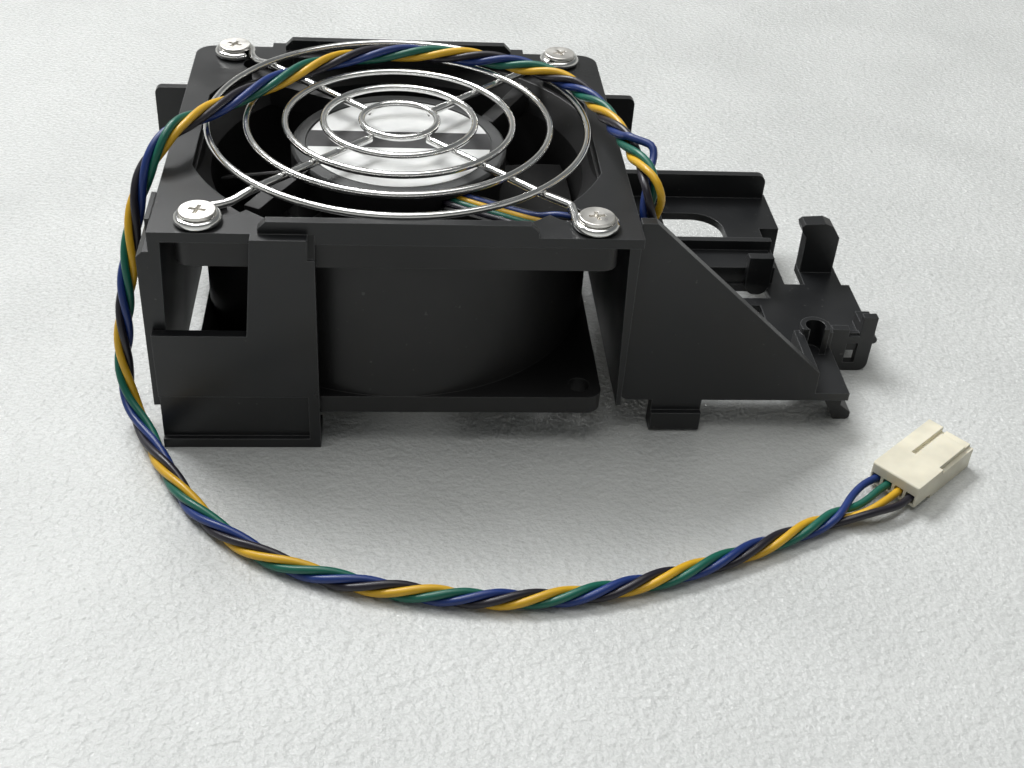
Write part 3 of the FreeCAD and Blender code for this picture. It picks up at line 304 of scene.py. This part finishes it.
def finish(mat, gloss_scale, gloss, relief, relief_scale, edge=0.0, stretch=(1, 1, 1)):
    """Uneven gloss and a fine relief; edge softens the corners where light catches them."""
    links = mat.node_tree.links
    shader = shader_of(mat)
    uneven = ranged(mat, noise(mat, gloss_scale, 4), 0.3, 0.7, *gloss)
    links.new(uneven, shader.inputs["Roughness"])
    bump = add_node(mat, "ShaderNodeBump", {"Strength": relief, "Distance": RELIEF_DEPTH})
    links.new(noise(mat, relief_scale, 3, stretch), bump.inputs["Height"])
    if edge:
        corner = add_node(mat, "ShaderNodeBevel", {"Radius": edge}, samples=EDGE_SAMPLES)
        links.new(corner.outputs["Normal"], bump.inputs["Normal"])
    links.new(bump.outputs["Normal"], shader.inputs["Normal"])
    return mat


DUST = (0.12, 0.12, 0.115)


def moulded(name, color, worn_and_highlit, gloss, edge):
    """Moulded black plastic: flow marks, a little dust, and corners painted paler, partly as
    rubbed wear and partly as a painted highlight where light catches them.
    """
    mat = base_material(name, color, gloss[0])
    links = mat.node_tree.links
    corner = add_node(mat, "ShaderNodeBevel", {"Radius": edge}, samples=EDGE_SAMPLES)
    surface = add_node(mat, "ShaderNodeNewGeometry")
    agree = add_node(mat, "ShaderNodeVectorMath", operation="DOT_PRODUCT")
    links.new(corner.outputs["Normal"], agree.inputs[0])
    links.new(surface.outputs["Normal"], agree.inputs[1])
    # painted highlight: the pale edge colour stands partly for wear and partly for light
    # catching the corners
    rubbed_and_highlight = ranged(mat, agree.outputs["Value"], 0.99, 0.80, 0.0, 0.8)
    flow = ranged(mat, noise(mat, 28, 5), 0.35, 0.65, 0.0, 1.0)
    paler = tuple(c * 1.5 + 0.001 for c in color)
    shade = tinted(mat, flow, color, paler)
    specks = ranged(mat, noise(mat, 900, 1), 0.74, 0.80, 0.0, 0.35)
    shade = tinted(mat, specks, shade, DUST)
    shade = tinted(mat, rubbed_and_highlight, shade, worn_and_highlit)
    links.new(shade, shader_of(mat).inputs["Base Color"])
    return finish(mat, 45, gloss, 0.12, 2600, edge=edge)


# painted reflection: the motor base's top within this radius is coloured paler to stand for the
# light it catches
CAP_R = 22.0 * MM
CAP_UNDER = 37.5 * MM
CAP_OVER = 37.9 * MM
CAP_BLEND = 0.2 * MM
CAP_SHEEN_COLOR = (0.055, 0.057, 0.058)


def sheened_on_top(name, plastic):
    """The same plastic with a painted reflection: paler on top of the motor base."""
    mat = plastic.copy()
    mat.name = name
    links = mat.node_tree.links
    shader = shader_of(mat)
    place = add_node(mat, "ShaderNodeTexCoord")
    split = add_node(mat, "ShaderNodeSeparateXYZ")
    level = add_node(mat, "ShaderNodeVectorMath", {1: (1, 1, 0)}, operation="MULTIPLY")
    reach = add_node(mat, "ShaderNodeVectorMath", operation="LENGTH")
    links.new(place.outputs["Object"], split.inputs["Vector"])
    links.new(place.outputs["Object"], level.inputs[0])
    links.new(level.outputs["Vector"], reach.inputs[0])
    high_up = ranged(mat, split.outputs["Z"], CAP_UNDER, CAP_OVER, 0.0, 1.0)
    inside = ranged(mat, reach.outputs["Value"], CAP_R, CAP_R + CAP_BLEND, 1.0, 0.0)
    sheen_mask = add_node(mat, "ShaderNodeMath", operation="MULTIPLY")
    links.new(high_up, sheen_mask.inputs[0])
    links.new(inside, sheen_mask.inputs[1])
    body_shade = shader.inputs["Base Color"].links[0].from_socket
    shade = tinted(mat, sheen_mask.outputs[0], body_shade, CAP_SHEEN_COLOR)
    links.new(shade, shader.inputs["Base Color"])
    return mat


def laminated(name):
    """Stack of thin iron sheets: fine level lines round the core."""
    mat = base_material(name, (0.22, 0.22, 0.24), 0.45, metallic=1.0)
    place = add_node(mat, "ShaderNodeTexCoord")
    sheets = add_node(
        mat, "ShaderNodeTexWave", {"Scale": 320, "Distortion": 0.3}, bands_direction="Z",
    )
    mat.node_tree.links.new(place.outputs["Object"], sheets.inputs["Vector"])
    shade = tinted(mat, sheets.outputs["Fac"], (0.12, 0.12, 0.13), (0.32, 0.32, 0.34))
    mat.node_tree.links.new(shade, shader_of(mat).inputs["Base Color"])
    return finish(mat, 90, (0.36, 0.55), 0.2, 900)


def wound_copper(name):
    """Enamelled wire laid turn on turn."""
    mat = base_material(name, (0.45, 0.13, 0.05), 0.25, metallic=0.7, coat=0.5)
    links = mat.node_tree.links
    place = add_node(mat, "ShaderNodeTexCoord")
    turns = add_node(
        mat, "ShaderNodeTexWave", {"Scale": 620, "Distortion": 1.2}, bands_direction="Z",
    )
    links.new(place.outputs["Object"], turns.inputs["Vector"])
    shade = tinted(mat, turns.outputs["Fac"], (0.16, 0.04, 0.015), (0.55, 0.18, 0.07))
    links.new(shade, shader_of(mat).inputs["Base Color"])
    bump = add_node(mat, "ShaderNodeBump", {"Strength": 0.6, "Distance": RELIEF_DEPTH})
    links.new(turns.outputs["Fac"], bump.inputs["Height"])
    links.new(bump.outputs["Normal"], shader_of(mat).inputs["Normal"])
    return mat


def metal(name, color, gloss, scratch=0.1, grain=1500, stretch=(1, 1, 1), edge=0.0):
    mat = base_material(name, color, gloss[0], metallic=1.0)
    return finish(mat, 260, gloss, scratch, grain, edge=edge, stretch=stretch)


def plain(name, color, gloss, grain=2200, coat=0.0, edge=0.0):
    """Non-metal with a slightly uneven colour."""
    mat = base_material(name, color, gloss[0], coat=coat)
    cloud = ranged(mat, noise(mat, 140, 3), 0.35, 0.65, 0.0, 1.0)
    shade = tinted(mat, cloud, color, tuple(c * 0.82 for c in color))
    mat.node_tree.links.new(shade, shader_of(mat).inputs["Base Color"])
    return finish(mat, 150, gloss, 0.1, grain, edge=edge)


LABEL_BAND_Y = 0.9 * MM
LABEL_BAND_HALF = 3.5 * MM
LABEL_BAND_BLUR = 0.03 * MM
LABEL_PAPER = (0.76, 0.77, 0.76)
LABEL_FIBRE = (0.66, 0.67, 0.67)
LABEL_INK = (0.02, 0.02, 0.022)


def printed_label():
    """Plain generic label: satin silver paper with one dark band across it."""
    mat = base_material("label", LABEL_PAPER, 0.4)
    links = mat.node_tree.links
    place = add_node(mat, "ShaderNodeTexCoord")
    split = add_node(mat, "ShaderNodeSeparateXYZ")
    links.new(place.outputs["Object"], split.inputs["Vector"])
    centre = add_node(mat, "ShaderNodeMath", {1: -LABEL_BAND_Y}, operation="ADD")
    links.new(split.outputs["Y"], centre.inputs[0])
    away = add_node(mat, "ShaderNodeMath", operation="ABSOLUTE")
    links.new(centre.outputs[0], away.inputs[0])
    inner = LABEL_BAND_HALF - LABEL_BAND_BLUR
    outer = LABEL_BAND_HALF + LABEL_BAND_BLUR
    band = ranged(mat, away.outputs[0], inner, outer, 1.0, 0.0)
    fibre = ranged(mat, noise(mat, 260, 4), 0.3, 0.7, 0.0, 1.0)
    paper = tinted(mat, fibre, LABEL_PAPER, LABEL_FIBRE)
    shade = tinted(mat, band, paper, LABEL_INK)
    links.new(shade, shader_of(mat).inputs["Base Color"])
    return finish(mat, 180, (0.38, 0.52), 0.05, 1600)


# colour, colour of the rubbed edges with their painted highlight, lowest and highest roughness,
# width of those edges
abs_black = moulded(
    "abs_black", (0.0082, 0.0088, 0.0098), (0.13, 0.135, 0.14), (0.27, 0.42), 0.3 * MM,
)
pbt_black = moulded(
    "pbt_black", (0.0105, 0.0105, 0.011), (0.08, 0.08, 0.08), (0.38, 0.52), 0.26 * MM,
)
base_black = sheened_on_top("base_black", pbt_black)
chrome = metal("chrome_wire", (0.93, 0.93, 0.92), (0.12, 0.22), 0.08, 900)
nickel = metal(
    "nickel", (0.86, 0.84, 0.80), (0.26, 0.44), 0.35, 700, (0.15, 1.6, 1.6), 0.12 * MM,
)
steel = metal("bright_steel", (0.66, 0.67, 0.69), (0.18, 0.30))
zinc = metal("zinc_steel", (0.50, 0.51, 0.53), (0.30, 0.46), 0.15, 400)
brass = metal("brass", (0.78, 0.58, 0.27), (0.22, 0.36))
tinned = metal("tinned_brass", (0.68, 0.66, 0.60), (0.24, 0.38))
iron = laminated("lamination")
copper = wound_copper("enamelled_copper")
ferrite = plain("ferrite", (0.030, 0.028, 0.026), (0.45, 0.62), 900)
nylon = plain("white_nylon", (0.75, 0.75, 0.71), (0.38, 0.52))
board = plain("board", (0.020, 0.120, 0.060), (0.28, 0.40), 500, coat=0.3)
epoxy = plain("epoxy", (0.020, 0.020, 0.020), (0.34, 0.48))
ivory = plain("ivory_nylon", (0.80, 0.76, 0.62), (0.36, 0.48), 3000, edge=0.2 * MM)
shader_of(ivory).inputs["Subsurface Weight"].default_value = 0.15
shader_of(ivory).inputs["Subsurface Radius"].default_value = (1.0 * MM, 0.8 * MM, 0.5 * MM)
label = printed_label()

WIRE_COLORS = {
    "yellow": (0.72, 0.42, 0.02),
    "green": (0.005, 0.125, 0.085),
    "blue": (0.010, 0.036, 0.185),
    "black": (0.014, 0.012, 0.021),
}
wires = {
    name: plain("pvc_" + name, color, (0.32, 0.46), 900, coat=0.08)
    for name, color in WIRE_COLORS.items()
}

CAD_LOOKS = (
    (abs_black, "bracket_cradle", "bracket_side_tray"),
    (pbt_black, "fan_frame", "impeller"),
    (base_black, "motor_base"),
    (label, "motor_label"),
    (zinc, "rotor_yoke"),
    (ferrite, "magnet_ring"),
    (brass, "shaft_boss"),
    (steel, "shaft", "preload_spring"),
    (steel, "lower_bearing_outer_ring", "lower_bearing_inner_ring", "lower_ball_train"),
    (steel, "upper_bearing_outer_ring", "upper_bearing_inner_ring", "upper_ball_train"),
    (nylon, "retaining_clip", "lower_insulator", "upper_insulator"),
    (iron, "stator_core"),
    (copper, "stator_windings"),
    (board, "circuit_board"),
    (epoxy, "board_components"),
    (ivory, "plug_housing"),
    (tinned, "crimp_terminals"),
)


def dress(name, mat):
    """Give a node of the frame its material."""
    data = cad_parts[name].data
    data.materials.clear()
    data.materials.append(mat)
    for polygon in data.polygons:
        polygon.material_index = 0


for look, *names in CAD_LOOKS:
    for name in names:
        dress(name, look)


# ------------------------------------------------------------------ lead: four twisted cores

CORE_R = 0.76 * MM
LAY_R = 1.08 * MM
LEAD_STEP = 0.8 * MM
LEAD_DETAIL = 16
SLACK = 0.05                                # share that the cores drift in and out by
SLACK_LENGTH = 9.0 * MM
SLACK_LAG = 11
EXIT_SPREAD = 0.25                          # share that the cores stand apart by at the gland
EXIT_LENGTH = 14.0 * MM
LEAD_TOP = 47.5 * MM
FRONT = Vector((-0.09, -0.79, 0.61))        # the side of the lead that the lay is counted on
# places along the lead, in mm, where the yellow core comes round to that side
YELLOW_IN_FRONT = (
    -12.5, 12.0, 36.5, 59, 82, 111, 147, 174.5, 198, 230, 259, 284, 306, 329.5, 356, 382,
)
CORE_ORDER = {"yellow": 0.0, "green": 0.25, "blue": 0.5, "black": 0.75}
# one core standing out from the bundle: centre, half length, how far, all in mm
BULGES = {"blue": (19.5, 6.5, 2.3), "yellow": (9.0, 6.0, 1.0)}
FAN_OUT = 17.0 * MM                         # stretch before the plug where the cores part
FAN_PACE = 1.12
PIN_DEPTH = 1.5 * MM                        # how far a core goes into the plug
CAVITY_UP = 2.6 * MM
CAVITY = {"blue": 3.81 * MM, "green": 1.27 * MM, "yellow": -1.27 * MM, "black": -3.81 * MM}
BOW = {"blue": 1.0 * MM, "green": 0.3 * MM, "yellow": 0.0, "black": 0.0}

PLUG_YAW = math.radians(40.5)
PLUG_FACE = Vector((0.0956, -0.0572, -0.0072))
PLUG_AXIS = Vector((math.cos(PLUG_YAW), math.sin(PLUG_YAW), 0))
PLUG_ACROSS = Vector((-math.sin(PLUG_YAW), math.cos(PLUG_YAW), 0))


def plug_point(along, across, up):
    return PLUG_FACE + PLUG_AXIS * along + PLUG_ACROSS * across + Vector((0, 0, up))


def turns_at(s):
    """How often the yellow core has come round by this place."""
    marks = [mark * MM for mark in YELLOW_IN_FRONT]
    i = 0
    while i < len(marks) - 2 and s > marks[i + 1]:
        i += 1
    return i + (s - marks[i]) / (marks[i + 1] - marks[i])


def eased_turns(s):
    """The same, averaged over a short stretch so that the lay changes gently."""
    window = (-8, -4, 0, 4, 8)
    return sum(turns_at(s + step * MM) for step in window) / len(window)


def make_lead():
    centre, length = evenly(curve_points(ROUTE, LEAD_DETAIL), LEAD_STEP)
    step = length / (len(centre) - 1)
    ways = headings(centre)
    for color, lag in CORE_ORDER.items():
        line = []
        for i, (point, way) in enumerate(zip(centre, ways)):
            s = i * step
            left = length - s
            front = (FRONT - way * FRONT.dot(way)).normalized()
            side = way.cross(front)
            angle = 2 * math.pi * (eased_turns(s) - lag)
            spread = LAY_R * (1 + SLACK * math.sin(s / SLACK_LENGTH + SLACK_LAG * lag))
            spread *= 1 + EXIT_SPREAD * (1 - ease(s / EXIT_LENGTH))
            if color in BULGES:
                where, half, out = BULGES[color]
                spread += out * MM * hump(s / MM, where, half)
            place = point + (front * math.cos(angle) - side * math.sin(angle)) * spread
            if left < FAN_OUT:
                open_up = 1 - left / FAN_OUT
                across = CAVITY[color] + BOW[color] * math.sin(math.pi * open_up)
                target = plug_point(-left, across, CAVITY_UP)
                place = place.lerp(target, ease(FAN_PACE * open_up))
            place.z = min(place.z, LEAD_TOP)
            line.append(place)
        line.append(plug_point(PIN_DEPTH, CAVITY[color], CAVITY_UP))
        line, reach = evenly(line, LEAD_STEP)
        name = "fan_lead_" + color
        core = insulated_core(name, line, CORE_R)
        obj = piece(name, core, "housing", "wire_pvc", wires[color])
        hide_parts("fan_lead")


make_lead()


# ------------------------------------------------------------------ captive wires on the strut

WIRE_R = 0.73 * MM
WIRE_PITCH = 1.5 * MM
WIRE_LOW = 35.02 * MM
WIRE_STEP = 0.9 * MM
WIRE_DETAIL = 12
STACK_FROM = 5                              # the point from which the outer cores lie on top
# middle of the four cores, out of the motor base, over the strut and into the gland
WIRE_MIDDLE = [
    (7.95, -13.77),
    (9.90, -17.20),
    (12.60, -19.35),
    (18.94, -22.75),
    (25.30, -26.15),
    (29.20, -27.40),
    (35.00, -27.90),
    (44.80, -28.80),
]
# each core's place across the four, in pitches, along the same points, and its rise at the end
WIRE_LANES = {
    "black": ((-1.5, -1.5, -1.5, -1.5, -1.5, -1.4, -0.5, -0.5), 1.0),
    "green": ((-0.5,) * 8, 0.0),
    "yellow": ((0.5,) * 8, 0.0),
    "blue": ((1.5, 1.5, 1.5, 1.5, 1.5, 1.4, 0.5, 0.5), 1.0),
}


def make_captive_wires():
    """Four cores side by side along the strut, then two on two out to the gland."""
    middle = [Vector((x, y, 0)) * MM for x, y in WIRE_MIDDLE]
    bm = bmesh.new()
    for index, (color, (lanes, lift)) in enumerate(WIRE_LANES.items()):
        places = []
        for k, (point, way) in enumerate(zip(middle, headings(middle))):
            across = Vector((-way.y, way.x, 0)) * lanes[k] * WIRE_PITCH
            raised = lift * WIRE_PITCH if k >= STACK_FROM else 0.0
            places.append(point + across + Vector((0, 0, WIRE_LOW + raised)))
        line, _ = evenly(curve_points(places, WIRE_DETAIL), WIRE_STEP)
        core = insulated_core("captive_" + color, line, WIRE_R)
        for polygon in core.polygons:
            polygon.material_index = index
        bm.from_mesh(core)
        bpy.data.meshes.remove(core)
    mesh = mesh_from(bm, "captive_cores")
    looks = [wires[color] for color in WIRE_LANES]
    obj = piece("captive_cores", mesh, "housing", "wire_pvc", *looks)
    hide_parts("captive_wires")


make_captive_wires()


# ------------------------------------------------------------------ wire guard

ROD_R = 0.8 * MM
RING_R = 0.7 * MM
RING_PITCH = 7.54 * MM
RING_COUNT = 5
PLATE_TOP = 40.0 * MM
ROD_LIFT = 0.7 * MM                         # how much higher an arm stands than its loop
WELD = 0.3 * MM                             # how deep a ring sits in the arms
LOOP_R = 3.55
LOOP_TURN = 318.0
RAMP_START = 38.6 * MM
RAMP_END = 43.5 * MM
WIRE_SIDES = 16
RING_STEPS = 48                             # steps round the smallest ring
RING_STEPS_MORE = 34                        # and more for each larger one
RUN_STEP = 2.0
TURN_STEP = 6
END_ROUNDING = 0.3 * MM
ARM_START = 7.9
# each arm from the inner ring outwards: a run in mm, or a turn in degrees and its radius
ARMS = {
    45: ((42.23 - ARM_START, 0, 0), (0, -46.2, 8.0), (0, LOOP_TURN, LOOP_R)),
    135: ((42.23 - ARM_START, 0, 0), (0, -46.2, 8.0), (0, LOOP_TURN - 6, LOOP_R)),
    225: ((40.67 - ARM_START, 0, 0), (0, -39.5, 12.0), (0, LOOP_TURN, LOOP_R)),
    315: (
        (37.86 - ARM_START, 0, 0),
        (0, 21.05, 4.0),
        (3.28, 0, 0),
        (0, -62.5, 1.5),
        (5.78, 0, 0),
        (0, LOOP_TURN, LOOP_R),
    ),
}


def new_geometry(found):
    """The free edge ring that an extrusion or a spin ends with."""
    verts = [item for item in found if isinstance(item, bmesh.types.BMVert)]
    kept = set(verts)
    edges = []
    for item in found:
        if isinstance(item, bmesh.types.BMEdge) and kept.issuperset(item.verts):
            edges.append(item)
    return verts, edges


def wire_section(bm, radius, place):
    """Open circle of edges that a wire starts from."""
    verts = bmesh.ops.create_circle(
        bm, cap_ends=False, radius=radius, segments=WIRE_SIDES, matrix=place,
    )["verts"]
    return verts, list({edge for vert in verts for edge in vert.link_edges})


def round_off(bm, edges):
    """Close a wire's open end and take its sharp edge off."""
    bmesh.ops.holes_fill(bm, edges=edges)
    soften(bm, edges, END_ROUNDING, 3)


def make_arm(bm, azimuth, moves):
    """One arm: out from the inner ring and round its screw."""
    heading = math.radians(azimuth)
    outward = Vector((math.cos(heading), math.sin(heading), 0))
    tip = outward * ARM_START * MM + Vector((0, 0, PLATE_TOP + ROD_R + ROD_LIFT))
    facing = Matrix.Rotation(heading, 4, "Z") @ Matrix.Rotation(math.pi / 2, 4, "Y")
    verts, edges = wire_section(bm, ROD_R, Matrix.Translation(tip) @ facing)
    first = edges
    for run, turn, radius in moves:
        if run:
            ahead = Vector((math.cos(heading), math.sin(heading), 0))
            pieces = max(1, round(run / RUN_STEP))
            for _ in range(pieces):
                made = bmesh.ops.extrude_edge_only(bm, edges=edges)
                verts, edges = new_geometry(made["geom"])
                bmesh.ops.translate(bm, vec=ahead * run / pieces * MM, verts=verts)
            tip += ahead * run * MM
        if turn:
            left = Vector((-math.sin(heading), math.cos(heading), 0))
            centre = tip + left * math.copysign(radius, turn) * MM
            made = bmesh.ops.spin(
                bm,
                geom=verts + edges,
                cent=centre,
                axis=(0, 0, 1),
                angle=math.radians(turn),
                steps=max(4, round(abs(turn) / TURN_STEP)),
                use_duplicate=False,
            )
            verts, edges = new_geometry(made["geom_last"])
            tip = centre + Matrix.Rotation(math.radians(turn), 3, "Z") @ (tip - centre)
            heading += math.radians(turn)
    round_off(bm, first)
    round_off(bm, edges)


def make_guard():
    bm = bmesh.new()
    for azimuth, moves in ARMS.items():
        make_arm(bm, azimuth, moves)
    for vert in bm.verts:
        out = math.hypot(vert.co.x, vert.co.y)
        vert.co.z -= ROD_LIFT * ease((out - RAMP_START) / (RAMP_END - RAMP_START))
    height = PLATE_TOP + 2 * ROD_R + ROD_LIFT + RING_R - WELD
    upright = Matrix.Rotation(math.pi / 2, 4, "X")
    for i in range(RING_COUNT):
        place = Matrix.Translation((RING_PITCH * (i + 1), 0, height)) @ upright
        verts, edges = wire_section(bm, RING_R, place)
        turn_round(bm, verts + edges, RING_STEPS + RING_STEPS_MORE * i)
    mesh = mesh_from(bm, "guard_wires")
    obj = piece("guard_wires", mesh, "housing", "guard_chrome", chrome)
    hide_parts("wire_guard")


make_guard()


# ------------------------------------------------------------------ guard screws

HEAD_R = 3.35 * MM
HEAD_UNDER = 41.6 * MM
HEAD_TOP = 42.4 * MM
SHANK_R = 2.0 * MM
SHANK_END = 33.2 * MM
SCREW_X = 71.5 / 2 * MM
SCREW_SIDES = 64
HEAD_ROUNDING = 0.22 * MM
TIP_ROUNDING = 0.5 * MM
RECESS_LONG = 3.9 * MM
RECESS_WIDE = 0.95 * MM
RECESS_DEEP = 1.1 * MM
RECESS_TAPER = 0.6
# azimuth of each screw's corner and how far its cross is turned
SCREW_TURNS = {45: 20, 135: 65, 225: 78, 315: 8}


def ring_of_edges(bm, radius, height):
    """The edges of a turned body that lie on one circle."""
    found = []
    for edge in bm.edges:
        off = [abs(math.hypot(vert.co.x, vert.co.y) - radius) for vert in edge.verts]
        off += [abs(vert.co.z - height) for vert in edge.verts]
        if max(off) < 2 * SAME_PLACE:
            found.append(edge)
    return found


def recess_cutter():
    """Cross of four arms, narrower at its bottom."""
    bm = bmesh.new()
    middle = Matrix.Diagonal((RECESS_WIDE, RECESS_WIDE, 2 * RECESS_DEEP, 1))
    bmesh.ops.create_cube(bm, size=1.0, matrix=middle)
    sides = [face for face in bm.faces if len({round(vert.co.z, 6) for vert in face.verts}) > 1]
    arms = bmesh.ops.extrude_discrete_faces(bm, faces=sides)["faces"]
    for face in arms:
        outward = face.calc_center_median().normalized()
        reach = outward * (RECESS_LONG - RECESS_WIDE) / 2
        bmesh.ops.translate(bm, vec=reach, verts=face.verts)
    for vert in bm.verts:
        if vert.co.z < 0:
            vert.co.x *= RECESS_TAPER
            vert.co.y *= RECESS_TAPER
        vert.co.z += HEAD_TOP
    bmesh.ops.recalc_face_normals(bm, faces=bm.faces)
    return link("recess_cutter", flat_mesh(bm, "recess_cutter"))


def screw_mesh():
    """Flat-headed screw with a cross recess, standing on the axis."""
    outline = (
        (0, HEAD_TOP), (HEAD_R, HEAD_TOP), (HEAD_R, HEAD_UNDER), (SHANK_R, HEAD_UNDER),
        (SHANK_R, SHANK_END), (0, SHANK_END),
    )
    bm = bmesh.new()
    verts = [bm.verts.new((out, 0, height)) for out, height in outline]
    edges = [bm.edges.new(pair) for pair in zip(verts, verts[1:])]
    turn_round(bm, verts + edges, SCREW_SIDES)
    bmesh.ops.recalc_face_normals(bm, faces=bm.faces)
    rims = ring_of_edges(bm, HEAD_R, HEAD_TOP) + ring_of_edges(bm, HEAD_R, HEAD_UNDER)
    soften(bm, rims, HEAD_ROUNDING, 4)
    soften(bm, ring_of_edges(bm, SHANK_R, SHANK_END), TIP_ROUNDING, 2)
    blank = link("screw", flat_mesh(bm, "screw"))
    cutter = recess_cutter()
    cut = blank.modifiers.new("recess", "BOOLEAN")
    cut.operation = "DIFFERENCE"
    cut.solver = "EXACT"
    cut.object = cutter
    bpy.context.view_layer.update()
    depsgraph = bpy.context.evaluated_depsgraph_get()
    done = bpy.data.meshes.new_from_object(blank.evaluated_get(depsgraph))
    for obj in (blank, cutter):
        bpy.data.objects.remove(obj)
    return done


def make_screws():
    single = screw_mesh()
    bm = bmesh.new()
    for azimuth, turn in SCREW_TURNS.items():
        quarter = math.radians(azimuth)
        corner = Vector((math.cos(quarter), math.sin(quarter), 0)) * SCREW_X * math.sqrt(2)
        before = set(bm.verts)
        bm.from_mesh(single)
        added = [vert for vert in bm.verts if vert not in before]
        spin = Matrix.Rotation(math.radians(turn), 4, "Z")
        bmesh.ops.transform(bm, matrix=Matrix.Translation(corner) @ spin, verts=added)
    bmesh.ops.remove_doubles(bm, verts=bm.verts, dist=SAME_PLACE)
    bmesh.ops.triangulate(bm, faces=bm.faces)
    obj = piece("screws", flat_mesh(bm, "screws"), "housing", "nickel_steel", nickel)
    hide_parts("guard_screws")


make_screws()


# ------------------------------------------------------------------ floor and light

FLOOR_Z = -7.2 * MM
FLOOR_HALF = 3.0
FOAM_PALE = (0.62, 0.635, 0.63)
FOAM_DULL = (0.55, 0.565, 0.56)


def foam_sheet():
    """White foam sheet under a thin glistening skin."""
    mat = base_material("foam_sheet", FOAM_PALE, 0.5, coat=0.8)
    links = mat.node_tree.links
    shader = shader_of(mat)
    shader.inputs["Coat Roughness"].default_value = 0.10
    cloud = ranged(mat, noise(mat, 30, 4), 0.3, 0.7, 0.0, 1.0)
    shade = tinted(mat, cloud, FOAM_PALE, FOAM_DULL)
    links.new(shade, shader.inputs["Base Color"])
    soft = add_node(mat, "ShaderNodeBump", {"Strength": 0.8, "Distance": 0.75 * MM})
    links.new(noise(mat, 640, 4), soft.inputs["Height"])
    links.new(soft.outputs["Normal"], shader.inputs["Normal"])
    skin = add_node(mat, "ShaderNodeBump", {"Strength": 1.0, "Distance": 1.4 * MM})
    links.new(noise(mat, 1100, 2), skin.inputs["Height"])
    links.new(skin.outputs["Normal"], shader.inputs["Coat Normal"])
    return mat


def make_floor():
    bm = bmesh.new()
    place = Matrix.Translation((0, 0, FLOOR_Z))
    bmesh.ops.create_grid(bm, x_segments=1, y_segments=1, size=FLOOR_HALF, matrix=place)
    mesh = flat_mesh(bm, "floor")
    mesh.materials.append(foam_sheet())
    link("floor", mesh)


make_floor()


def soft_box(name, place, size, power, color):
    """Rectangular studio light aimed at the object."""
    data = bpy.data.lights.new(name, "AREA")
    data.shape = "RECTANGLE"
    data.size, data.size_y = size
    data.energy = power
    data.color = color
    obj = link(name, data)
    obj.location = place
    obj.rotation_mode = "QUATERNION"
    obj.rotation_quaternion = (-Vector(place)).to_track_quat("-Z", "Y")


soft_box("back_light", (-0.60, 0.85, 1.32), (1.1, 0.5), 30, (1.0, 1.0, 0.995))
soft_box("top_light", (-0.05, 0.05, 1.6), (1.4, 1.0), 11, (1.0, 0.99, 0.96))

SKY_LOW = (0.445, 0.445, 0.42)
SKY_HIGH = (0.125, 0.13, 0.13)
WALLS_END = 0.22                            # height of a direction, from -1 to 1
CEILING_START = 0.52


def make_surroundings():
    """Pale walls round the table and a dimmer ceiling."""
    world = bpy.data.worlds.new("world")
    world.use_nodes = True
    tree = world.node_tree
    place = tree.nodes.new("ShaderNodeTexCoord")
    split = tree.nodes.new("ShaderNodeSeparateXYZ")
    rise = tree.nodes.new("ShaderNodeMapRange")
    rise.inputs["From Min"].default_value = WALLS_END
    rise.inputs["From Max"].default_value = CEILING_START
    mix = tree.nodes.new("ShaderNodeMix")
    mix.data_type = "RGBA"
    mix.inputs["A"].default_value = (*SKY_LOW, 1)
    mix.inputs["B"].default_value = (*SKY_HIGH, 1)
    tree.links.new(place.outputs["Generated"], split.inputs["Vector"])
    tree.links.new(split.outputs["Z"], rise.inputs["Value"])
    tree.links.new(rise.outputs["Result"], mix.inputs["Factor"])
    tree.links.new(mix.outputs["Result"], tree.nodes["Background"].inputs["Color"])
    bpy.context.scene.world = world


make_surroundings()
bpy.context.scene.view_settings.view_transform = "Standard"
